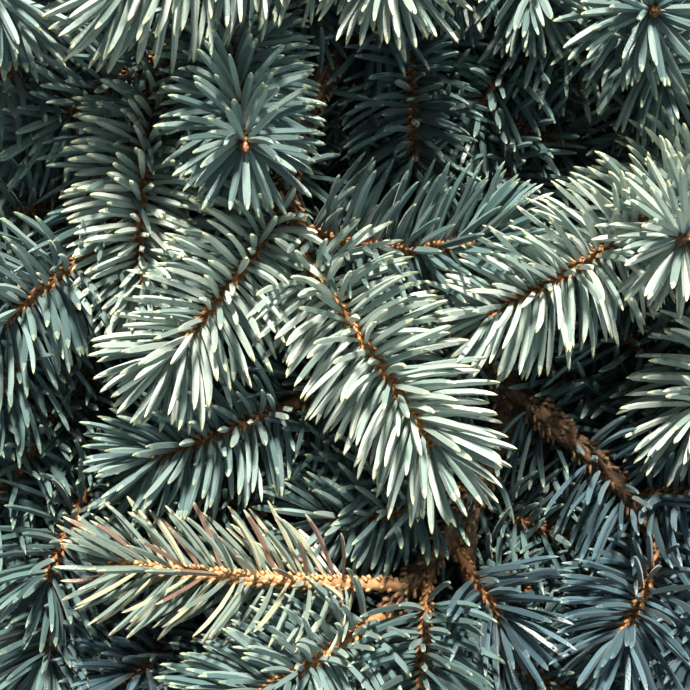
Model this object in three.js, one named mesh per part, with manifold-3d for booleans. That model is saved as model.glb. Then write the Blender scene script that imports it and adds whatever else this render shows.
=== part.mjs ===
// A cut bough of short-needled blue spruce, lying on its underside with the needles of its lowest
// sprays on the ground. Millimetres, +Z up, the sawn end of the main limb towards +Y.
import * as THREE from "three";
import { mergeVertices } from "three/addons/utils/BufferGeometryUtils.js";
import Module from "manifold-3d";

// Needles: stouter and fewer than on the living twig, so that each stands for several.
const NEEDLE_LENGTH = 18;
const NEEDLE_LENGTH_SPREAD = [0.86, 1.06];
const NEEDLE_HALF_WIDTH = 1.1;
const SHORTEST_NEEDLE = 0.4;
const NEEDLE_CHECKS = [0.3, 0.45, 0.6, 0.7, 0.8, 0.9, 1];
const LEAN_AT_FOOT = 74;
const LEAN_AT_TIP = 32;
const LEAN_JITTER = 7;
const ROLL_JITTER = 12;
const UPWARD_PULL = 0.12;
const END_NEEDLE = 11;

// Twigs: the young wood that carries the needles, a five-sided bar of cells that turns along its length.
const TWIG_FOOT_RADIUS = 1.9;
const TWIG_TIP_RADIUS = 1.4;
const TWIG_SIDES = 5;
const TWIG_CELL = 4.9;
const TWIG_TURN = 33;
const LEAST_RINGS = 4;
const BARE_RINGS = 2;

// Limbs: older wood without needles, thickened to a collar where it springs from its parent.
const LIMB_SIDES = 7;
const LIMB_STEPS = 5;
const COLLAR_FLARE = 0.35;
const COLLAR_FADE = 14;

// Room between one piece and the next.
const JOINT_GAP = 0.3;
const NEEDLE_GAP = 0.6;
const GROUND_GAP = 0.4;

// The room that the crown fills: an oval seen from above, lower in its middle, where shown sprays lie on top.
const CROWN_CENTRE = [4, 8];
const CROWN_REACH = [102, 102];
const LOWEST_TWIG = 10;
const HIGHEST_TWIG = 60;
const SHADED_CEILING = 44;
const SHADED_HALF = 61;
const LIMB_CLEAR = 5;

// Growth: seeded, so that it comes out the same every time.
const GROWTH_SEED = 4;
const NEEDLE_SEED = 5;
const AXIS_STEPS = 16;
const FIRST_FREE_STEP = 4;
const INNER_SPRAYS = 14;
const INNER_TRIES = 260;
const INNER_LENGTH = 46;
const INNER_LENGTH_SPREAD = [0.85, 1.1];
const INNER_FOOT = [0.2, 1];
const INNER_ANGLE = [25, 75];
const INNER_ARCH = 3;
const INNER_CLEAR = 9;
const SIDE_SHARE = 0.75;
const SIDE_SHARE_SPREAD = [0.8, 1.1];
const SIDE_FOOT = [0.22, 0.7];
const SIDE_ANGLE = [40, 62];
const SIDE_ARCH = 2;
const SIDE_BELOW_LEADER = 12;
const SIDE_SHOOTS = {
  shown: { tries: 14, most: 1, clear: 11 },
  inner: { tries: 200, most: 6, clear: 7 },
};

// The main limb: foot, the point that it bends towards, tip, and radii at foot and tip.
const MAIN_LIMB = { foot: [10, 150, 30], through: [10, 60, 30], tip: [36, -14, 34], radii: [4.8, 3.0] };

// Limbs that branch off: name, parent, share of the parent's length, point it bends towards, tip, radii.
const BRANCH_LIMBS = [
  ["top_limb", "main_limb", 0.12, [6, 104, 52], [0, 86, 62], [2.4, 1.9]],
  ["left_high_limb", "main_limb", 0.17, [-30, 90, 46], [-53, 20, 52], [3.0, 2.0]],
  ["right_high_limb", "main_limb", 0.25, [62, 92, 36], [80, 32, 52], [3.0, 2.0]],
  ["centre_limb", "main_limb", 0.38, [-20, 46, 48], [-9.5, 19, 58], [2.7, 1.9]],
  ["left_mid_limb", "main_limb", 0.8, [6, 2, 42], [-10, -12, 46], [2.4, 1.9]],
  ["low_limb", "main_limb", 1, [30, -34, 47], [8, -56, 52], [2.7, 2.0]],
  ["right_low_limb", "main_limb", 0.95, [42, -14, 42], [47, -19, 43], [2.7, 2.3]],
  ["left_top_limb", "left_high_limb", 0.36, [-45, 90, 46], [-72, 76, 50], [2.3, 1.9]],
  ["left_low_limb", "left_high_limb", 0.85, [-62, 4, 26], [-60, -42, 30], [2.3, 1.9]],
  ["right_mid_limb", "right_high_limb", 0.78, [96, 10, 40], [88, -30, 40], [2.4, 1.9]],
  ["tip_limb", "low_limb", 0.5, [26, -66, 38], [30, -84, 34], [2.2, 1.9]],
  ["under_left_limb", "main_limb", 0.33, [-20, 70, 20], [-54, 48, 20], [2.4, 1.9]],
  ["under_right_limb", "main_limb", 0.45, [38, 54, 24], [64, 38, 20], [2.4, 1.9]],
  ["under_mid_limb", "main_limb", 0.7, [-5, 12, 20], [-34, 4, 20], [2.3, 1.9]],
  ["under_low_limb", "main_limb", 0.9, [12, -28, 22], [-22, -54, 20], [2.3, 1.9]],
  ["under_tip_limb", "main_limb", 0.98, [56, -34, 24], [54, -74, 22], [2.3, 1.9]],
];

// Sprays that show from above: name, limb, share of its length, tip of the leading twig, how far its
// middle is arched upwards and bowed to its left, and its tint.
const SHOWN_SPRAYS = [
  ["centre_leader", "centre_limb", 1, [18, -21, 66], 7, 1, "grey_green"],
  ["centre_left", "centre_limb", 0.8, [-36, -3, 60], 7, 3, "blue_green"],
  ["centre_right", "centre_limb", 0.9, [30, 22, 54], 4, -7, "grey_green"],
  ["left_leader", "left_high_limb", 1, [-80, -2, 54], 7, 2, "blue_green"],
  ["left_short", "left_high_limb", 0.72, [-42, 11, 54], 3, -4, "blue_green"],
  ["left_rosette", "left_high_limb", 0.52, [-19, 38, 74], -8, 0, "blue_green"],
  ["left_outer", "left_high_limb", 0.64, [-73, 42, 40], 4, 0, "deep_blue"],
  ["top_left", "top_limb", 1, [-43, 67, 77], 5, -3, "blue"],
  ["top_right", "top_limb", 0.8, [9, 70, 80], -3, 0, "blue"],
  ["top_mid", "right_high_limb", 0.2, [40, 73, 54], 4, 0, "deep_blue"],
  ["corner_rosette", "left_top_limb", 0.95, [-66, 66, 80], -5, 0, "blue"],
  ["right_corner", "right_high_limb", 0.52, [59, 64, 72], -4, 0, "blue_green"],
  ["right_leader", "right_high_limb", 0.93, [28, 6, 60], 8, 6, "grey_green"],
  ["right_rosette", "right_high_limb", 1, [64, 20, 74], -6, 0, "grey_green"],
  ["right_side", "right_mid_limb", 0.5, [71, -15, 58], 4, 0, "blue"],
  ["mid_left", "left_mid_limb", 1, [-41, -24, 50], 4, 0, "blue_green"],
  ["low_inner", "low_limb", 0.36, [-6, -37, 45], 2, 5, "blue_green"],
  ["low_right", "low_limb", 0.64, [33, -58, 52], 3, 0, "blue"],
  ["low_leader", "low_limb", 0.87, [-46, -44, 60], 10, -9, "straw"],
  ["low_left", "low_limb", 1, [-24, -73, 60], 11, 0, "grey_green"],
  ["low_front", "low_limb", 0.75, [14, -90, 57], 10, -1, "blue_green"],
  ["right_low_leader", "right_low_limb", 1, [67, -43, 47], 2, 4, "blue"],
  ["deep_centre", "main_limb", 0.36, [15, 38, 43], 4, 0, "deep_blue"],
  ["deep_right", "main_limb", 0.55, [54, 44, 34], 2, 0, "deep_blue"],
  ["right_mid_leader", "right_mid_limb", 1, [74, -64, 50], 4, 0, "blue"],
  ["front_right", "tip_limb", 0.55, [56, -78, 46], 3, 0, "blue"],
  ["left_low_leader", "left_low_limb", 1, [-65, -69, 44], 3, 0, "deep_blue"],
  ["left_low_side", "left_low_limb", 0.6, [-80, -40, 42], 4, 0, "deep_blue"],
  ["low_left_under", "under_low_limb", 1, [-47, -72, 44], 3, 0, "blue"],
];

// Side shoots that show: their foot's share of the leading twig, tip, arch and bow.
const SHOWN_SIDES = {
  right_low_leader: [
    [1, [57, -60, 56], 2, 0],
    [0.6, [93, -29, 55], 3, 0],
  ],
};

const BARK = { color: 0x6b4a35, roughness: 0.9 };
const NEEDLE_TINTS = {
  grey_green: { color: 0x93a796, roughness: 0.55 },
  blue_green: { color: 0x7d9a9a, roughness: 0.55 },
  blue: { color: 0x6f90a0, roughness: 0.55 },
  deep_blue: { color: 0x4d6a75, roughness: 0.6 },
  straw: { color: 0xb0a584, roughness: 0.6 },
};

const wasm = await Module();
wasm.setup();

// Numbers from 0 to 1 that are the same in every run.
function makeRandom(seed) {
  let state = seed >>> 0;
  return () => {
    state = (Math.imul(state, 1664525) + 1013904223) >>> 0;
    return state / 4294967296;
  };
}

const vector = (xyz) => new THREE.Vector3(...xyz);
const radians = THREE.MathUtils.degToRad;
const mix = THREE.MathUtils.lerp;
const within = ([low, high], random) => mix(low, high, random());
const either = (most, random) => most * (2 * random() - 1);
const chord = (curve) => curve.v0.distanceTo(curve.v2);

// Two directions square to another, the second of them as near to upright as it can be.
function sideways(along) {
  const upright = Math.abs(along.z) > 0.9 ? new THREE.Vector3(1, 0, 0) : new THREE.Vector3(0, 0, 1);
  const across = new THREE.Vector3().crossVectors(along, upright).normalize();
  const over = new THREE.Vector3().crossVectors(across, along).normalize();
  return { across, over };
}

// A direction turned away from another by an angle, at a roll about it.
function turned(along, angle, roll) {
  const { across, over } = sideways(along);
  return along
    .clone()
    .multiplyScalar(Math.cos(angle))
    .addScaledVector(across, Math.sin(angle) * Math.cos(roll))
    .addScaledVector(over, Math.sin(angle) * Math.sin(roll));
}

// The solid inside a closed geometry.
function solidOf(geometry) {
  geometry.deleteAttribute("normal");
  geometry.deleteAttribute("uv");
  const merged = mergeVertices(geometry, 1e-4);
  return new wasm.Manifold(
    new wasm.Mesh({
      numProp: 3,
      vertProperties: merged.attributes.position.array,
      triVerts: new Uint32Array(merged.index.array),
    }),
  );
}

// Bends an upright cylinder of radius and height 1 along a curve, with a radius for each share t of it.
// The whole is turned about the curve by an angle from foot to tip, and its end drawn out to a point ahead.
function bend(bar, curve, radiusAt, turn = 0, ahead = 0) {
  const place = bar.attributes.position;
  const upright = sideways(curve.v2.clone().sub(curve.v0).normalize()).over;
  for (let i = 0; i < place.count; i++) {
    const t = THREE.MathUtils.clamp(place.getY(i) + 0.5, 0, 1);
    const spoke = new THREE.Vector2(place.getX(i), place.getZ(i)).rotateAround(new THREE.Vector2(), turn * t);
    const tangent = curve.getTangent(t);
    const across = new THREE.Vector3().crossVectors(tangent, upright).normalize();
    const over = new THREE.Vector3().crossVectors(across, tangent).normalize();
    const point = curve
      .getPoint(t)
      .addScaledVector(across, spoke.x * radiusAt(t))
      .addScaledVector(over, spoke.y * radiusAt(t));
    if (t === 1 && spoke.length() === 0) point.addScaledVector(tangent, ahead);
    place.setXYZ(i, ...point);
  }
  return bar;
}

// Points along a curve by which the room round it is measured.
function samplesOf(curve) {
  return Array.from({ length: AXIS_STEPS + 1 }, (_, i) => curve.getPoint(i / AXIS_STEPS));
}

function nearest(point, samples) {
  let best = Infinity;
  for (const other of samples) best = Math.min(best, point.distanceToSquared(other));
  return Math.sqrt(best);
}

function growLimbs() {
  const { foot, through, tip, radii } = MAIN_LIMB;
  const curve = new THREE.QuadraticBezierCurve3(vector(foot), vector(through), vector(tip));
  const limbs = [{ name: "main_limb", curve, samples: samplesOf(curve), radii, flare: 0 }];
  for (const [name, parent, share, through, tip, radii] of BRANCH_LIMBS) {
    const foot = limbs.find((limb) => limb.name === parent).curve.getPoint(share);
    const curve = new THREE.QuadraticBezierCurve3(foot, vector(through), vector(tip));
    limbs.push({ name, curve, samples: samplesOf(curve), radii, flare: COLLAR_FLARE });
  }
  return limbs;
}

// A shoot from its foot to its tip, arched upwards and bowed to the left of its way. Others keep their
// distance from its samples, the last of which lie on its end needle.
function makeShoot(foot, tip, arch, bow) {
  const way = tip.clone().sub(foot);
  const left = new THREE.Vector3(-way.y, way.x, 0).normalize();
  const middle = foot.clone().lerp(tip, 0.5).addScaledVector(left, bow);
  middle.z += arch;
  const curve = new THREE.QuadraticBezierCurve3(foot, middle, tip);
  const ahead = [0.5, 1].map((share) => tip.clone().addScaledVector(curve.getTangent(1), share * END_NEEDLE));
  return { curve, samples: [...samplesOf(curve), ...ahead] };
}

// True where a point is in the crown's room, under a ceiling in its middle.
function inCrown(point, ceiling) {
  const shaded = Math.abs(point.x) < SHADED_HALF && Math.abs(point.y) < SHADED_HALF;
  const x = (point.x - CROWN_CENTRE[0]) / CROWN_REACH[0];
  const y = (point.y - CROWN_CENTRE[1]) / CROWN_REACH[1];
  return x * x + y * y < 1 && point.z > LOWEST_TWIG && point.z < (shaded ? ceiling : HIGHEST_TWIG);
}

// The least room between a shoot, but for its foot, and each shoot or limb of a list.
function roomOf(shoot, others) {
  let least = Infinity;
  for (const point of shoot.samples.slice(FIRST_FREE_STEP)) {
    for (const other of others) least = Math.min(least, nearest(point, other.samples));
  }
  return least;
}

function fits(shoot, ceiling, limbs, others, clear) {
  const outer = shoot.samples.slice(FIRST_FREE_STEP);
  if (!outer.every((point) => inCrown(point, ceiling))) return false;
  return roomOf(shoot, limbs) >= LIMB_CLEAR && roomOf(shoot, others) >= clear;
}

// The sprays that show, each with its leading twig and the side shoots that are set for it.
function growShownSprays(limbs) {
  return SHOWN_SPRAYS.map(([name, limbName, share, tip, arch, bow, tint]) => {
    const foot = limbs.find((limb) => limb.name === limbName).curve.getPoint(share);
    const leader = makeShoot(foot, vector(tip), arch, bow);
    const sides = (SHOWN_SIDES[name] ?? []).map(([sideShare, sideTip, sideArch, sideBow]) => {
      return makeShoot(leader.curve.getPoint(sideShare), vector(sideTip), sideArch, sideBow);
    });
    return { name, kind: "shown", tint, shoots: [leader, ...sides] };
  });
}

// The sprays that fill the crown under and round those: of many tries, each time the one with most room.
function growInnerSprays(limbs, sprays, random) {
  for (let n = 1; n <= INNER_SPRAYS; n++) {
    const taken = sprays.flatMap((spray) => spray.shoots);
    let most = INNER_CLEAR;
    let leader = null;
    for (let i = 0; i < INNER_TRIES; i++) {
      const limb = limbs[Math.floor(random() * limbs.length)];
      const share = within(INNER_FOOT, random);
      const angle = radians(within(INNER_ANGLE, random));
      const roll = random() * 2 * Math.PI;
      const length = INNER_LENGTH * within(INNER_LENGTH_SPREAD, random);
      const foot = limb.curve.getPoint(share);
      const tip = foot.clone().addScaledVector(turned(limb.curve.getTangent(share), angle, roll), length);
      const shoot = makeShoot(foot, tip, INNER_ARCH, 0);
      const otherLimbs = limbs.filter((other) => other !== limb);
      if (!fits(shoot, SHADED_CEILING, otherLimbs, taken, most)) continue;
      most = roomOf(shoot, taken);
      leader = shoot;
    }
    const name = `inner_${String(n).padStart(2, "0")}`;
    if (leader) sprays.push({ name, kind: "inner", tint: "deep_blue", shoots: [leader] });
  }
}

// Side shoots on each spray's leading twig, wherever a try finds room.
function growSideShoots(limbs, sprays, random) {
  for (const spray of sprays) {
    const leader = spray.shoots[0].curve;
    const { tries, most, clear } = SIDE_SHOOTS[spray.kind];
    const ceiling = Math.max(SHADED_CEILING, leader.v2.z - SIDE_BELOW_LEADER);
    for (let i = 0; i < tries && spray.shoots.length <= most; i++) {
      const share = within(SIDE_FOOT, random);
      const angle = radians(within(SIDE_ANGLE, random));
      const roll = random() * 2 * Math.PI;
      const length = chord(leader) * SIDE_SHARE * within(SIDE_SHARE_SPREAD, random);
      const foot = leader.getPoint(share);
      const tip = foot.clone().addScaledVector(turned(leader.getTangent(share), angle, roll), length);
      const shoot = makeShoot(foot, tip, SIDE_ARCH, 0);
      const others = sprays.flatMap((other) => (other === spray ? spray.shoots.slice(1) : other.shoots));
      if (fits(shoot, ceiling, limbs, others, clear)) spray.shoots.push(shoot);
    }
  }
}

function growSprays(limbs) {
  const random = makeRandom(GROWTH_SEED);
  const sprays = growShownSprays(limbs);
  growInnerSprays(limbs, sprays, random);
  growSideShoots(limbs, sprays, random);
  return sprays;
}

// How much of a needle's length keeps to its own shoot's room, off the limbs and off the ground.
function freeShare(root, way, length, own, rivals, limbs) {
  const drop = -way.z * length;
  const most = drop > 0 ? Math.min(1, (root.z - GROUND_GAP) / drop) : 1;
  let share = 0;
  for (const part of NEEDLE_CHECKS) {
    if (part > most) return most;
    const point = root.clone().addScaledVector(way, length * part);
    const room = 2 * (NEEDLE_GAP + NEEDLE_HALF_WIDTH * (1 - part));
    if (nearest(point, rivals) - nearest(point, own) < room) return share;
    if (limbs.some((limb) => nearest(point, limb.samples) < limb.radii[0] + room)) return share;
    share = part;
  }
  return share;
}

// The way of a needle rooted at share t of a twig: nearly square to it at its foot, forward at its tip.
function needleWay(curve, t, root, random) {
  const lean = radians(mix(LEAN_AT_FOOT, LEAN_AT_TIP, t * t * t) + either(LEAN_JITTER, random));
  const tangent = curve.getTangent(t);
  const outward = root.clone().sub(curve.getPoint(t)).normalize();
  outward.applyAxisAngle(tangent, radians(either(ROLL_JITTER, random)));
  const way = tangent.multiplyScalar(Math.cos(lean)).addScaledVector(outward, Math.sin(lean));
  way.z += UPWARD_PULL;
  return way.normalize();
}

// A twig with its needles: every second cell of its side is drawn out to a four-sided spike.
function needledTwig(shoot, rivals, limbs, random) {
  const { curve, samples } = shoot;
  const rings = Math.max(LEAST_RINGS, Math.round(chord(curve) / TWIG_CELL));
  const cells = TWIG_SIDES * rings;
  const twig = new THREE.CylinderGeometry(1, 1, 1, TWIG_SIDES, rings);
  const radiusAt = (t) => mix(TWIG_FOOT_RADIUS, TWIG_TIP_RADIUS, t);
  bend(twig, curve, radiusAt, radians(TWIG_TURN) * rings, END_NEEDLE);
  const points = [...twig.attributes.position.array];
  const corners = [...twig.index.array];
  const faces = corners.slice(6 * cells);
  for (let cell = 0; cell < cells; cell++) {
    // The cylinder lists the cells side by side from its tip down, each as two triangles a b d and b c d.
    const [a, b, d, , c] = corners.slice(6 * cell, 6 * cell + 6);
    const ring = cell % rings;
    const side = Math.floor(cell / rings);
    const root = new THREE.Vector3();
    for (const i of [a, b, c, d]) root.addScaledVector(vector(points.slice(3 * i, 3 * i + 3)), 0.25);
    const way = needleWay(curve, 1 - (ring + 0.5) / rings, root, random);
    const length = NEEDLE_LENGTH * within(NEEDLE_LENGTH_SPREAD, random);
    const bare = ring >= rings - BARE_RINGS || (ring + side) % 2 === 1;
    const share = bare ? 0 : freeShare(root, way, length, samples, rivals, limbs);
    if (share < SHORTEST_NEEDLE) {
      faces.push(a, b, d, b, c, d);
    } else {
      const point = points.length / 3;
      points.push(...root.addScaledVector(way, length * share));
      faces.push(a, b, point, b, c, point, c, d, point, d, a, point);
    }
  }
  const spiked = new THREE.BufferGeometry();
  spiked.setAttribute("position", new THREE.Float32BufferAttribute(points, 3));
  spiked.setIndex(faces);
  return solidOf(spiked);
}

// A limb's solid, grown all round and past both its ends by a margin.
function limbSolid(limb, margin) {
  const { v0, v1, v2 } = limb.curve;
  const foot = v0.clone().addScaledVector(limb.curve.getTangent(0), -margin);
  const tip = v2.clone().addScaledVector(limb.curve.getTangent(1), margin);
  const curve = new THREE.QuadraticBezierCurve3(foot, v1, tip);
  const radiusAt = (t) => mix(...limb.radii, t) * (1 + limb.flare * Math.exp(-t * COLLAR_FADE)) + margin;
  return solidOf(bend(new THREE.CylinderGeometry(1, 1, 1, LIMB_SIDES, LIMB_STEPS), curve, radiusAt));
}

// Cuts a solid clear of others and drops the scraps that this leaves.
function cutClear(solid, others) {
  const pieces = others.reduce((rest, other) => rest.subtract(other), solid).decompose();
  return pieces.reduce((largest, piece) => (piece.volume() > largest.volume() ? piece : largest));
}

function meshOf(name, solid, look) {
  const { vertProperties, triVerts } = solid.getMesh();
  const geometry = new THREE.BufferGeometry();
  geometry.setAttribute("position", new THREE.BufferAttribute(vertProperties, 3));
  geometry.setIndex(new THREE.BufferAttribute(triVerts, 1));
  geometry.computeVertexNormals();
  const mesh = new THREE.Mesh(geometry, new THREE.MeshStandardMaterial({ ...look, metalness: 0 }));
  mesh.name = name;
  return mesh;
}

// The limbs, each saddled clear of those before it, so that its foot fits round its parent.
function makeLimbs(limbs) {
  const wood = new THREE.Group();
  const around = [];
  for (const limb of limbs) {
    wood.add(meshOf(limb.name, cutClear(limbSolid(limb, 0), around), BARK));
    around.push(limbSolid(limb, JOINT_GAP));
  }
  return { wood, around };
}

// The sprays, each one solid of twigs and needles, cut clear of the limbs.
function makeSprays(limbs, sprays, around) {
  const random = makeRandom(NEEDLE_SEED);
  const foliage = new THREE.Group();
  const shoots = sprays.flatMap((spray) => spray.shoots);
  for (const spray of sprays) {
    const twigs = spray.shoots.map((shoot) => {
      const rivals = shoots.filter((other) => other !== shoot).flatMap((other) => other.samples);
      return needledTwig(shoot, rivals, limbs, random);
    });
    const solid = cutClear(wasm.Manifold.union(twigs), around);
    foliage.add(meshOf(`${spray.name}_spray`, solid, NEEDLE_TINTS[spray.tint]));
  }
  return foliage;
}

const limbs = growLimbs();
const { wood, around } = makeLimbs(limbs);
const bough = new THREE.Group();
bough.add(wood, makeSprays(limbs, growSprays(limbs), around));

// The origin is on the ground, under the middle of the bough.
const reach = new THREE.Box3().setFromObject(bough);
const middle = reach.getCenter(new THREE.Vector3());
bough.position.set(-middle.x, -middle.y, -reach.min.z);

export default bough;
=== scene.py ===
"""A cut bough of blue spruce lying on a pale floor, seen from straight above.

The limbs get a skin of flaking bark and a sawn face, and every spray grows again by the rule of
the solids, with finer needles, their woody pegs, ridged twigs and scaly buds.
"""

import logging
import math
from collections.abc import Callable, Iterable, Sequence
from dataclasses import dataclass, field, replace
from enum import Enum

import bmesh
import bpy
import numpy as np
from mathutils import Matrix, Vector, noise


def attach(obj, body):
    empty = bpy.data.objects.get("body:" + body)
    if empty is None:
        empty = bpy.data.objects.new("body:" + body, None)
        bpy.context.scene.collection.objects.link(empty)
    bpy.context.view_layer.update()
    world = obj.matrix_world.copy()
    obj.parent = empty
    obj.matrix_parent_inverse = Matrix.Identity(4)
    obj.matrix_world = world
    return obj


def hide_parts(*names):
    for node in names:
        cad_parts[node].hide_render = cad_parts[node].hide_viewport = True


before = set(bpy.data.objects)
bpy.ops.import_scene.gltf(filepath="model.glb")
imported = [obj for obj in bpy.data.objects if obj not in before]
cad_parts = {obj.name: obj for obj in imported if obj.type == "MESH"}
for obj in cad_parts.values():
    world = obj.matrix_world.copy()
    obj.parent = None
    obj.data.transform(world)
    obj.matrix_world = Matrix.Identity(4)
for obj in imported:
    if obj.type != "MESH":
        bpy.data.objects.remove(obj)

log = logging.getLogger("bough")

# Lengths are millimetres in the frame that the bough is drawn in, until a mesh is made, and
# angles are degrees, unless a name or a docstring says otherwise.
MM = 0.001
ROW_SHIFT = np.array([-2.1936, -24.0233, -0.4])
# A piece of needles takes no more sprays once it has this many triangles.
PIECE_FULL = 125_000
# The steps in which a curve is sampled, and how far past a shoot's tip its samples go on.
AXIS_STEPS = 16
END_NEEDLE = 11.0
# How much thicker a twig is at its foot, on young and on old wood, and how fast that fades.
FOOT_SWELLING, OLD_FOOT_SWELLING, SWELLING_FADE = 0.8, 0.2, 22
# The corners of a needle's rings, and the slots that follow those of its three shades.
NEEDLE_SIDES = 4
FADE_SLOT, TIP_SLOT = 3, 4


@dataclass(frozen=True)
class NeedleCut:
    """How finely needles are made: how many a millimetre of twig, where along them they have
    rings of corners, and how stout they are at each."""

    per_mm: float
    stations: tuple[float, ...]
    girths: tuple[float, ...]


class Detail(Enum):
    """How finely a twig's needles are made."""

    SHOWN = NeedleCut(4.5, (0.0, 0.14, 0.42, 0.72, 0.87, 0.955), (0.5, 0.86, 1.04, 1.0, 0.8, 0.48))
    SHADED = NeedleCut(2.9, (0.0, 0.25, 0.62, 0.87, 0.955), (0.55, 1.0, 1.03, 0.8, 0.48))


@dataclass(frozen=True)
class SideRule:
    """How many times a spray tries to grow side shoots, how many stay and what room each needs."""

    tries: int
    most: int
    clear: float


class Kind(Enum):
    """How a spray came to be, with the rule for its side shoots."""

    SHOWN = SideRule(14, 1, 11.0)
    INNER = SideRule(200, 6, 7.0)


@dataclass(frozen=True)
class Shades:
    """The plain colours of one kind of needle: three for its length, with their shares, one
    where it fades and one for its tip."""

    lengths: tuple[int, int, int]
    fade: int
    tip: int
    shares: tuple[float, float, float] = (0.3, 0.45, 0.25)


class Tint(Enum):
    """The kinds of needle, three of them lightened or darkened as painted light and shade."""

    # Grey-green is the needles' own hue, lightened as painted light for sprays that the sun falls
    # on.
    GREY_GREEN = Shades((0xBCCAC4, 0x9DB1AB, 0x7A928E), 0xB8C5B0, 0xD0D6AE)
    BLUE_GREEN = Shades((0x86A09F, 0x688384, 0x4D6A6E), 0x8BA397, 0xB9C6A0)
    # Blue is a real bluer hue, darkened as painted shade for sprays that stand out of the sun.
    BLUE = Shades((0x4B6A78, 0x385460, 0x293F4A), 0x4F6B75, 0x758B8B)
    # Deep blue is a blue-green hue darkened as painted shade for the sprays and limb needles deep
    # in the bough.
    DEEP_BLUE = Shades((0x5C7B7D, 0x456264, 0x344B4E), 0x5F7A73, 0x8C9C88)
    STRAW = Shades((0x748982, 0xAFB39A, 0x80655B), 0x9AA18B, 0xCFC3A6, (0.62, 0.24, 0.14))

    @property
    def word(self) -> str:
        """The tint's name as pieces, materials and slots have it."""
        return self.name.lower()


class Wood(Enum):
    """The wood of a spray's young twigs and pegs, by material slot."""

    BROWN = 0
    STRAW = 1
    GOLDEN = 2


# The main limb: foot, the point that it bends towards, tip, radii at foot and tip.
MAIN_LIMB = ((10, 150, 30), (10, 60, 30), (36, -14, 34), (4.8, 3.0))

# Name, parent, share of the parent's length, point it bends towards, tip, radii.
BRANCH_LIMBS = (
    ("top_limb", "main_limb", 0.12, (6, 104, 52), (0, 86, 62), (2.4, 1.9)),
    ("left_high_limb", "main_limb", 0.17, (-30, 90, 46), (-53, 20, 52), (3.0, 2.0)),
    ("right_high_limb", "main_limb", 0.25, (62, 92, 36), (80, 32, 52), (3.0, 2.0)),
    ("centre_limb", "main_limb", 0.38, (-20, 46, 48), (-9.5, 19, 58), (2.7, 1.9)),
    ("left_mid_limb", "main_limb", 0.8, (6, 2, 42), (-10, -12, 46), (2.4, 1.9)),
    ("low_limb", "main_limb", 1, (30, -34, 47), (8, -56, 52), (2.7, 2.0)),
    ("right_low_limb", "main_limb", 0.95, (42, -14, 42), (47, -19, 43), (2.7, 2.3)),
    ("left_top_limb", "left_high_limb", 0.36, (-45, 90, 46), (-72, 76, 50), (2.3, 1.9)),
    ("left_low_limb", "left_high_limb", 0.85, (-62, 4, 26), (-60, -42, 30), (2.3, 1.9)),
    ("right_mid_limb", "right_high_limb", 0.78, (96, 10, 40), (88, -30, 40), (2.4, 1.9)),
    ("tip_limb", "low_limb", 0.5, (26, -66, 38), (30, -84, 34), (2.2, 1.9)),
    ("under_left_limb", "main_limb", 0.33, (-20, 70, 20), (-54, 48, 20), (2.4, 1.9)),
    ("under_right_limb", "main_limb", 0.45, (38, 54, 24), (64, 38, 20), (2.4, 1.9)),
    ("under_mid_limb", "main_limb", 0.7, (-5, 12, 20), (-34, 4, 20), (2.3, 1.9)),
    ("under_low_limb", "main_limb", 0.9, (12, -28, 22), (-22, -54, 20), (2.3, 1.9)),
    ("under_tip_limb", "main_limb", 0.98, (56, -34, 24), (54, -74, 22), (2.3, 1.9)),
)

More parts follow.
